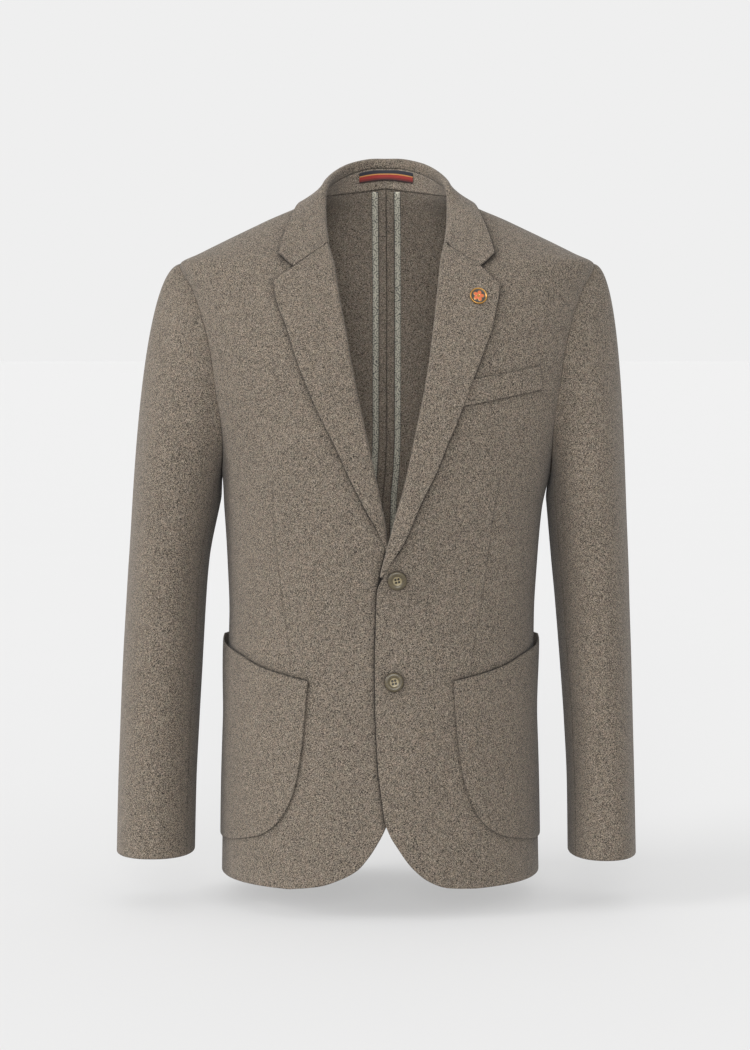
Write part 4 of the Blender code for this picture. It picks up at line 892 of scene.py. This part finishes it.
class Finish:
    """A material with a Principled shader, whose other nodes are added by one method."""

    def __init__(self, name, roughness, **constants):
        self.material = bpy.data.materials.new(name)
        self.material.use_nodes = True
        self.tree = self.material.node_tree
        self.shader = self.tree.nodes["Principled BSDF"]
        for socket, value in {"Roughness": roughness, **constants}.items():
            self.shader.inputs[socket.replace("_", " ")].default_value = value

    def node(self, kind, settings=None, inputs=None, output=0):
        """One node: its settings first, then its sockets, which take numbers, colours or other values."""
        made = self.tree.nodes.new(kind)
        for key, value in (settings or {}).items():
            if key == "stops":
                while len(made.color_ramp.elements) > 1:
                    made.color_ramp.elements.remove(made.color_ramp.elements[-1])
                for k, (place, colour) in enumerate(value):
                    stop = made.color_ramp.elements[0] if k == 0 else made.color_ramp.elements.new(place)
                    stop.position, stop.color = place, colour
            else:
                setattr(made, key, value)
        for key, value in (inputs or {}).items():
            if isinstance(value, Value):
                self.tree.links.new(value.socket, made.inputs[key])
            else:
                made.inputs[key].default_value = value
        return Value(self.tree, made.outputs[output])

    def place(self):
        """The point in metres."""
        return self.node("ShaderNodeTexCoord", output=3)

    def stored(self, name):
        """A number stored on the mesh."""
        return self.node("ShaderNodeAttribute", {"attribute_name": name}, output=2)

    def noise(self, where, scale, detail=2.0, roughness=0.5):
        """Smooth noise from 0 to 1."""
        return self.node("ShaderNodeTexNoise", None,
                         {"Vector": where, "Scale": scale, "Detail": detail, "Roughness": roughness})

    def stretched(self, where, turn, stretch):
        """Coordinates turned about Y and X and squeezed along one way, for short fibres."""
        return self.node("ShaderNodeMapping", {"vector_type": "TEXTURE"},
                         {"Vector": where, "Rotation": turn, "Scale": stretch})

    def blend(self, share, first, second):
        """A colour between two, by a share from 0 to 1."""
        return self.node("ShaderNodeMix", {"data_type": "RGBA"}, {0: share, 6: first, 7: second}, output=2)

    def scaled(self, colour, amount):
        """A colour times a number."""
        return self.node("ShaderNodeVectorMath", {"operation": "SCALE"}, {0: colour, 3: amount})

    def times(self, first, second):
        """Two colours multiplied."""
        return self.node("ShaderNodeVectorMath", {"operation": "MULTIPLY"}, {0: first, 1: second})

    def finish(self, colour, height=None, depth=0.001, strength=0.5, **others):
        """Links the colour, a bump made from a height, and any other socket that varies."""
        bump = height and self.node("ShaderNodeBump", None, {"Height": height, "Distance": depth, "Strength": strength})
        for socket, value in {"Base Color": colour, "Normal": bump, **others}.items():
            if value is not None:
                self.tree.links.new(value.socket, self.shader.inputs[socket])
        return self.material


def linear(*code):
    """Screen values from 0 to 255 as a colour in linear light."""
    c = np.array(code) / 255
    return (*(float(x) for x in np.where(c <= 0.04045, c / 12.92, ((c + 0.055) / 1.055) ** 2.4)), 1.0)


# %% [markdown]
# ## Fulled melange knit
# The yarn is spun from light, brown and dark grey fibres, and the knit is fulled until its stitches all but
# vanish. What is left is a fine speckle of short fibres in all directions, with broad, faint patches that lean
# to pink or green. Two stretched noises crossed with a round one give the fibres, and slow noises the patches.

# %% The knit
def knit(name, colour, contrast, painted_shade_on):
    """The knit in a colour, with painted shade along edges, seams and the dart. The fourth argument is 1 where painted
    shade also darkens the cloth beside the edges of pieces that lie on it.
    """
    made = Finish(name, 0.92, Sheen_Weight=0.1, Sheen_Roughness=0.5, Specular_IOR_Level=0.25)
    where = made.place()
    fibres_a = made.noise(made.stretched(where, (0, 0.75, 0), (1.0, 1.0, 2.2)), 1450, 2.0, 0.6)
    fibres_b = made.noise(made.stretched(where, (0, -0.80, 0.3), (1.0, 1.0, 2.2)), 1500, 2.0, 0.6)
    round_ones = made.noise(where, 1150, 2.0, 0.7)
    patches, broad = made.noise(where, 150), made.noise(where, 9)
    speckle = (fibres_a - 0.5) + (fibres_b - 0.5) + 1.1 * (round_ones - 0.5)
    light = 1 + 4.1 * contrast * speckle + 0.40 * (patches - 0.5) + 0.14 * (broad - 0.5)
    # painted shade: darker within about a millimetre of every edge and seam
    painted_edge_shade = made.stored("edge").bell(0.0010)
    # the dart: a groove in the bump, and painted shade along it
    line = made.stored("crease_depth") * made.stored("crease").bell(0.0009)
    # painted shade beside the edges of pieces that lie on the cloth: a narrow dark line and a broad soft one, scaled by
    # the stored depth
    near = made.stored("cover").most(0.0)
    shade = 0.42 * near.bell(0.0014) + 0.22 * near.bell(0.0050)
    light = light * (1 - 0.36 * painted_edge_shade) * (1 - 0.26 * line) * (1 - painted_shade_on * made.stored("painted_shade_depth") * shade)
    warm = made.noise(where, 240)
    green = made.noise(made.stretched(where, (0.4, 0, 0.9), (1.3, 1.0, 1.0)), 190)
    tint = made.blend(((warm - 0.5) * 1.6 + 0.5).within(), (0.955, 1.0, 1.03, 1), (1.045, 0.995, 0.965, 1))
    second = made.blend(((green - 0.5) * 1.2 + 0.5).within(), (1.02, 0.985, 1.02, 1), (0.98, 1.02, 0.965, 1))
    base = made.times(made.times(tint, second), colour[:3])
    return made.finish(made.scaled(base, light.most(0.06)), speckle * 0.8 - 1.2 * line, 0.0006, 0.55)


outside = knit("melange_knit", linear(102, 93, 83), 1.0, 1.0)
# the same knit made lighter for inner faces, the seam turnings and the stand: painted light in place of the light that
# reaches inside the garment
inside_knit_painted_light = knit("inside_knit_painted_lighter", linear(122, 112, 101), 0.8, 0.0)
for node, piece in cloth.items():
    if not node.startswith(("binding", "hanger")):
        piece.data.materials.append(inside_knit_painted_light if node.startswith(("seam_turning", "collar_stand")) else outside)
        piece.data.materials.append(inside_knit_painted_light)
print("knit:", outside.name, inside_knit_painted_light.name)

# %% [markdown]
# ## Tape and ribbon
# The binding tapes are light with a small common paisley: curved drops in alternating directions, each an outline
# round an inner line. The hanger loop is a woven ribbon in bands, with ribs across it.

# %% Tape and ribbon finishes
def tape():
    """Flowing lines: rings 2.6 mm apart round a place every 16 mm, first on one side, then on the other, broken
    up by a slow noise, with small dots between them."""
    made = Finish("paisley_tape", 0.8, Sheen_Weight=0.2)
    run, across, where = made.stored("run"), made.stored("across"), made.place()
    far = []
    for start, aside in ((0.0, 0.0030), (0.5, -0.0032)):
        step = ((run / 0.016 + start).fraction() - 0.5) * 0.016
        far.append((step * step + (across - aside) * (across - aside)).root())
    drift = made.noise(where, 210)
    rings = abs(((far[0].least(far[1]) + drift * 0.0030) / 0.0026).fraction() - 0.5)
    lines = (1 - rings / 0.24).most(0.0) * (made.noise(where, 230, 1.0) - 0.30).over(0.0, 0.12)
    spots = made.node("ShaderNodeTexVoronoi", None, {"Vector": where, "Scale": 420})
    dots = (1 - spots.over(0.24, 0.10)) * (made.noise(where, 200, 1.0) - 0.50).over(0.0, 0.06)
    ink = (lines + dots * 0.9 + (abs(across) - 0.0033).bell(0.0004) * 0.7).least(1.0)
    colour = made.blend(ink, linear(190, 186, 170), linear(58, 60, 62))
    weave = (run * 9000.0).sin() * 0.5 + (across * 9000.0).sin() * 0.5
    return made.finish(made.scaled(colour, 0.8 + 0.4 * made.noise(where, 2600)), weave + ink, 0.0002, 0.4)


def ribbon():
    """Bands by the place across, from the lower edge: dark, red, gold, navy."""
    made = Finish("loop_ribbon", 0.6, Sheen_Weight=0.3)
    bands = ((0.0, (40, 16, 18)), (0.10, (42, 16, 18)), (0.16, (100, 26, 24)), (0.28, (112, 28, 25)),
             (0.33, (150, 36, 28)), (0.56, (150, 38, 30)), (0.59, (196, 138, 72)), (0.65, (196, 138, 72)),
             (0.69, (26, 28, 42)), (1.0, (24, 26, 38)))
    stops = [(place, linear(*code)) for place, code in bands]
    ramp = made.node("ShaderNodeValToRGB", {"stops": stops}, {"Fac": made.stored("across")})
    ribs = (made.stored("run") * 7800.0).sin()
    grain = made.noise(made.place(), 2200)
    return made.finish(made.scaled(ramp, 0.72 + 0.10 * ribs + 0.4 * grain), ribs, 0.0002, 0.5)


tape_cloth, ribbon_cloth = tape(), ribbon()
for node in ("binding_right", "binding_left"):
    cloth[node].data.materials.append(tape_cloth)
cloth["hanger_loop"].data.materials.append(ribbon_cloth)
print("tape and ribbon:", tape_cloth.name, ribbon_cloth.name)

# %% [markdown]
# ## Buttons, buttonholes and pin
# A horn button is turned on a lathe: a rounded rim, a dished middle and four drilled holes. Its top is a height over
# a round grid, with the holes as steep pits, so one closed mesh holds it all. The pin is made the same way, with a
# flower in low relief.

# %% Round pieces
def disc(name, radius, rings, steps, height, foot, place, out, stored):
    """A closed disc: its top is height(r, turn) over rings of points, its underside is flat at 0."""
    turn = np.linspace(0, 2 * np.pi, steps, endpoint=False)
    r, t = np.meshgrid(rings, turn, indexing="ij")
    top = np.stack([r * np.cos(t), r * np.sin(t), height(r, t)], -1)
    wall = [np.stack([s * radius * np.cos(turn), s * radius * np.sin(turn), 0 * turn + h], -1) for s, h in foot]
    grid = np.concatenate([top, np.stack(wall)])
    first = numbered(len(grid), steps)
    quads = np.stack([first[:-1], first[1:], np.roll(first[1:], -1, 1), np.roll(first[:-1], -1, 1)], -1)
    point, normal, away = front_frame(np.array(place[0]), np.array(place[1]), 1)
    flat = grid.reshape(-1, 3)
    world = point + normal * out + flat @ np.stack([away, np.cross(normal, away), normal])
    made = new_mesh(name, world, quads.reshape(-1, 4))
    for key, values in {"radius": np.linalg.norm(grid[..., :2], axis=-1) / radius, **stored(grid)}.items():
        per_point(made, key, values.ravel())
    print(f"{name}: {len(made.data.polygons)} faces")
    return made


def hole_distance(x, y):
    """The distance to the middle of the nearest of four holes, which lie 2.2 mm from the button's middle."""
    return np.min([np.hypot(x - 0.0022 * np.cos(a), y - 0.0022 * np.sin(a))
                   for a in np.array([57, 147, 237, 327]) * DEG], axis=0)


def button_height(r, t):
    """A profile over r, lowered by 1.6 mm inside a hole."""
    profile = np.interp(r / BUTTON_RADIUS, (0, 0.40, 0.46, 0.54, 0.64, 0.75, 0.86, 0.94, 0.985, 1),
                        (0.60, 0.62, 0.66, 0.84, 0.96, 1.0, 0.95, 0.84, 0.66, 0.5))
    pit = 1 - smoothstep(0.00100, 0.00130, hole_distance(r * np.cos(t), r * np.sin(t)))
    return 0.0034 * profile - 0.0016 * pit


def hole_place(x, z, along_it, across, height):
    """A place on the left front by its distances from the middle of a buttonhole."""
    return front_point(x + 0.0065 + along_it, z + across, 1, CLOTH + height)


def stitching(name, x, z):
    """A ring of rounded thread, 16 mm long and 2 mm wide, whose 0.7 mm radius waves 40 times round the slit."""
    u, v = np.meshgrid(np.linspace(0, 2 * np.pi, 96, endpoint=False), np.linspace(0, 2 * np.pi, 9)[:-1], indexing="ij")
    thick = 0.0007 * (1 + 0.16 * np.sin(40 * u))
    grid = hole_place(x, z, (0.0078 + thick * np.cos(v)) * np.cos(u), (0.0010 + thick * np.cos(v)) * np.sin(u),
                      0.00005 + thick / 0.0007 * 0.0005 * np.sin(v))
    first = numbered(*u.shape)
    over = np.roll(first, -1, 1)
    quads = np.stack([first, over, np.roll(over, -1, 0), np.roll(first, -1, 0)], -1)
    return new_mesh(name, grid.reshape(-1, 3), quads.reshape(-1, 4)[:, ::-1])


def slit(name, x, z):
    """A dark sheet of painted shade in the opening inside the stitched rim, a thin lens in cross section."""
    u, v = np.meshgrid(np.linspace(-1, 1, 33), np.linspace(-1, 1, 7), indexing="ij")
    half = 0.0009 * np.sqrt(np.clip(1 - u**2, 0.02, 1))
    return closed_mesh(name, *(hole_place(x, z, 0.0078 * u, half * v, height) for height in (0.0002, -0.0002)))


def pin_height(r, t):
    """A raised rim round a shallow dome, with five petals in relief."""
    s = r / PIN_RADIUS
    petal = smoothstep(0.06, -0.06, s - (0.34 + 0.30 * np.abs(np.cos(2.5 * t)))) * smoothstep(0.12, 0.20, s)
    rim = np.interp(s, (0, 0.78, 0.83, 0.88, 0.95, 0.985, 1), (0.72, 0.56, 0.80, 1.0, 0.97, 0.78, 0.5))
    return 0.0024 * (rim + 0.14 * petal)


rings = np.concatenate([np.linspace(0.00002, 0.0008, 4), np.linspace(0.0010, 0.0030, 17),
                        np.linspace(0.0034, 0.0092, 18), (0.0095, 0.0097, 0.0099, 0.01)])
foot = ((0.985, 0.0010), (0.92, 0.0005), (0.72, 0.0001), (0.30, 0.0), (0.002, 0.0))
buttons, holes, slits = {}, [], []
for node, place in BUTTONS.items():
    buttons[node] = disc(f"horn_{node}", BUTTON_RADIUS, rings, 96, button_height, foot, place, CLOTH + 0.0003,
                         lambda grid: {"hole": hole_distance(grid[..., 0], grid[..., 1])})
for node, place in BUTTONS.items():
    holes.append(stitching(f"{node}_hole_stitching", *place))
    # a dark sheet of painted shade in each slit
    slits.append(slit(f"{node}_hole_slit", *place))
pin = disc("round_pin", PIN_RADIUS, np.linspace(0.00002, PIN_RADIUS, 40), 120, pin_height,
           ((0.98, 0.0004), (0.9, 0.0), (0.4, 0.0), (0.002, 0.0)), PIN_PLACE,
           CLOTH / 2 + FOLD + LAPEL_LIFT * 0.66 + TURNED / 2 + 0.0002,
           lambda grid: {"petal": np.abs(np.cos(2.5 * np.arctan2(grid[..., 1], grid[..., 0])))})

# %% [markdown]
# ## Horn, thread and gilt metal
# Horn has soft dark streaks and is lighter where it is turned thin. The thread is brown and dull. The pin's metal is
# worn smooth on its raised parts, and its hollows hold enamel.

# %% Finishes of the small pieces
def horn():
    """Streaked horn, pale in the dish and dark at the edge, with painted shade in the holes."""
    made = Finish("horn", 0.38, Coat_Weight=0.25, Coat_Roughness=0.25)
    where = made.place()
    streaks = made.noise(made.stretched(where, (0.3, 0.9, 0.2), (1.0, 1.0, 5.0)), 900, 3.0)
    cloud = made.noise(where, 260)
    radius, hole = made.stored("radius"), made.stored("hole")
    dark = (0.55 * (streaks - 0.5) * 2.4 + 0.5 * cloud + 0.25).within()
    ring = made.blend(dark, linear(90, 79, 51), linear(46, 38, 24))
    pale = made.blend(dark, linear(150, 138, 106), linear(108, 95, 68))
    colour = made.blend(1 - radius.over(0.42, 0.08), ring, pale)
    colour = made.blend(radius.over(0.93, 0.05), colour, linear(50, 40, 28))
    # painted shade: near black inside the holes
    colour = made.blend(1 - hole.over(0.00110, 0.00018), colour, linear(20, 15, 10))
    return made.finish(colour, streaks, 0.0003, 0.3, Roughness=0.30 + 0.25 * cloud)


def thread():
    """Dull brown thread with a fine twist."""
    made = Finish("buttonhole_thread", 0.7, Sheen_Weight=0.2)
    twist = made.noise(made.stretched(made.place(), (0, 0.6, 0), (1, 1, 4)), 3000)
    return made.finish(made.blend(twist, linear(82, 72, 62), linear(116, 104, 92)), twist, 0.0003, 0.5)


def slit_painted_shade():
    """Painted shade for the inside of a buttonhole."""
    made = Finish("buttonhole_painted_shade", 0.9)
    return made.finish(made.blend(made.noise(made.place(), 1500), linear(30, 26, 22), linear(50, 44, 38)))


def gilt():
    """Gilt on the rim, round the petals and in the middle, with enamel between."""
    made = Finish("gilt_and_enamel", 0.35, Coat_Weight=0.3, Coat_Roughness=0.1)
    radius, petal = made.stored("radius"), made.stored("petal")
    wear = made.noise(made.place(), 1200, 3.0)
    past = radius - (0.34 + 0.30 * petal)
    core = 1 - radius.over(0.15, 0.04)
    colour = made.blend(1 - past.over(-0.05, 0.05), linear(52, 48, 46), linear(190, 92, 52))
    colour = made.blend(core, colour, linear(206, 164, 88))
    metal = (radius.over(0.79, 0.03) + past.bell(0.045) + core).least(1.0)
    gold = made.blend(wear, linear(196, 150, 78), linear(150, 108, 54))
    return made.finish(made.blend(metal, colour, gold), wear, 0.0001, 0.3, Metallic=metal * 0.9,
                       Roughness=0.22 + 0.25 * wear)


for pieces, finish in ((buttons.values(), horn()), (holes, thread()), (slits, slit_painted_shade()), ([pin], gilt())):
    for made in pieces:
        made.data.materials.append(finish)
print("small pieces:", len(buttons), "buttons,", len(holes), "buttonholes and a pin")

# %% [markdown]
# ## What each piece is
# Each shell replaces its solid. A sheet's flat size is the size that its piece was cut to, and its area is less
# than width times length where the cut narrows.

# %% Declarations
# flat width, flat length, flat area, what it hangs from
CUTS = {"front_right": (0.300, 0.850, 0.150, "back_cloth_right"),
        "front_left": (0.295, 0.852, 0.144, "back_cloth_left"),
        "top_sleeve_right": (0.420, 0.641, 0.1409, "back_cloth_right"),
        "top_sleeve_left": (0.410, 0.641, 0.1363, "back_cloth_left"),
        "under_sleeve_right": (0.145, 0.479, 0.0459, "side_cloth_right"),
        "under_sleeve_left": (0.145, 0.479, 0.0451, "side_cloth_left"),
        "lapel_right": (0.100, 0.352, 0.0178, "front_cloth_right"),
        "lapel_left": (0.102, 0.365, 0.0180, "front_cloth_left"),
        "collar_stand": (0.024, 0.383, 0.0052, "back_cloth_right"),
        "collar_fall": (0.080, 0.470, 0.0212, "collar_stand_cloth"),
        "breast_welt": (0.102, 0.029, 0.0025, "front_cloth_left"),
        "hanger_loop": (0.0125, 0.064, 0.0008, "collar_stand_cloth")}
for word in WORDS.values():
    CUTS[f"side_{word}"] = (0.094, 0.472, 0.0290, f"front_cloth_{word}")
    CUTS[f"back_{word}"] = (0.275, 0.846, 0.150, "collar_stand_cloth")
    CUTS[f"patch_pocket_{word}"] = (0.190, 0.225, 0.0340, f"front_cloth_{word}")
    CUTS[f"seam_turning_{word}"] = (0.010, 0.727, 0.0062, f"back_cloth_{word}")
    CUTS[f"binding_{word}"] = (0.012, 0.727, 0.0078, f"turning_{word}")


def declare(piece, node=None):
    """A piece that rides on the one body and may stand for a solid, which is then hidden."""
    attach(piece, "root")
    if node:
        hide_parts(node)


for node, piece in cloth.items():
    width, length, area, carrier = CUTS[node]
    declare(piece, node)
for node, piece in buttons.items():
    declare(piece, node)
for piece in holes + slits:
    declare(piece)
declare(pin, "lapel_pin")
print("pieces declared:", len(cloth) + len(buttons) + len(holes) + len(slits) + 1)

# %% [markdown]
# ## Floor, light and camera
# A pale sweep under and behind the garment, an even surrounding light, a soft key from the upper left of the
# picture and a fill from the front. The camera stands 2.7 m in front and looks a little down.

# %% Stage
x, y = np.meshgrid(np.linspace(-60, 60, 9), np.linspace(-60, 120, 9), indexing="ij")
floor = new_mesh("floor", np.stack([x, y, 0 * x - 0.765], -1).reshape(-1, 3), grid_faces(numbered(9, 9)))
pale = Finish("pale_floor", 0.9, Specular_IOR_Level=0.1, Emission_Color=(1, 1, 1, 1), Emission_Strength=0.42)
floor.data.materials.append(pale.finish(pale.blend(pale.noise(pale.place(), 3.0), (0.350, 0.350, 0.350, 1),
                                                   (0.356, 0.356, 0.356, 1))))

scene = bpy.context.scene
scene.world = scene.world or bpy.data.worlds.new("studio")
scene.world.use_nodes = True
scene.world.node_tree.nodes["Background"].inputs["Color"].default_value = (0.863, 0.863, 0.863, 1)
scene.world.node_tree.nodes["Background"].inputs["Strength"].default_value = 1.0
for name, energy, width, way in (("key", 1.8, 26, (0.85, 0.34, -0.42)), ("fill", 1.5, 24, (0.04, 1.0, -0.30))):
    light = bpy.data.objects.new(name, bpy.data.lights.new(name, "SUN"))
    light.data.energy, light.data.angle = energy, width * DEG
    light.rotation_euler = Vector(way).to_track_quat("-Z", "Y").to_euler()
    scene.collection.objects.link(light)
scene.view_settings.view_transform = "Standard"

camera = bpy.data.objects.new("camera", bpy.data.cameras.new("camera"))
camera.data.sensor_fit, camera.data.sensor_height = "VERTICAL", 24
camera.data.lens = 24 * 2500 / 1050
camera.location = (-0.0097, -2.7, -0.17)
camera.rotation_euler = ((90 - 4.03) * DEG, 0, 0)
scene.collection.objects.link(camera)
scene.camera = camera
print("camera:", tuple(round(v, 3) for v in camera.location))
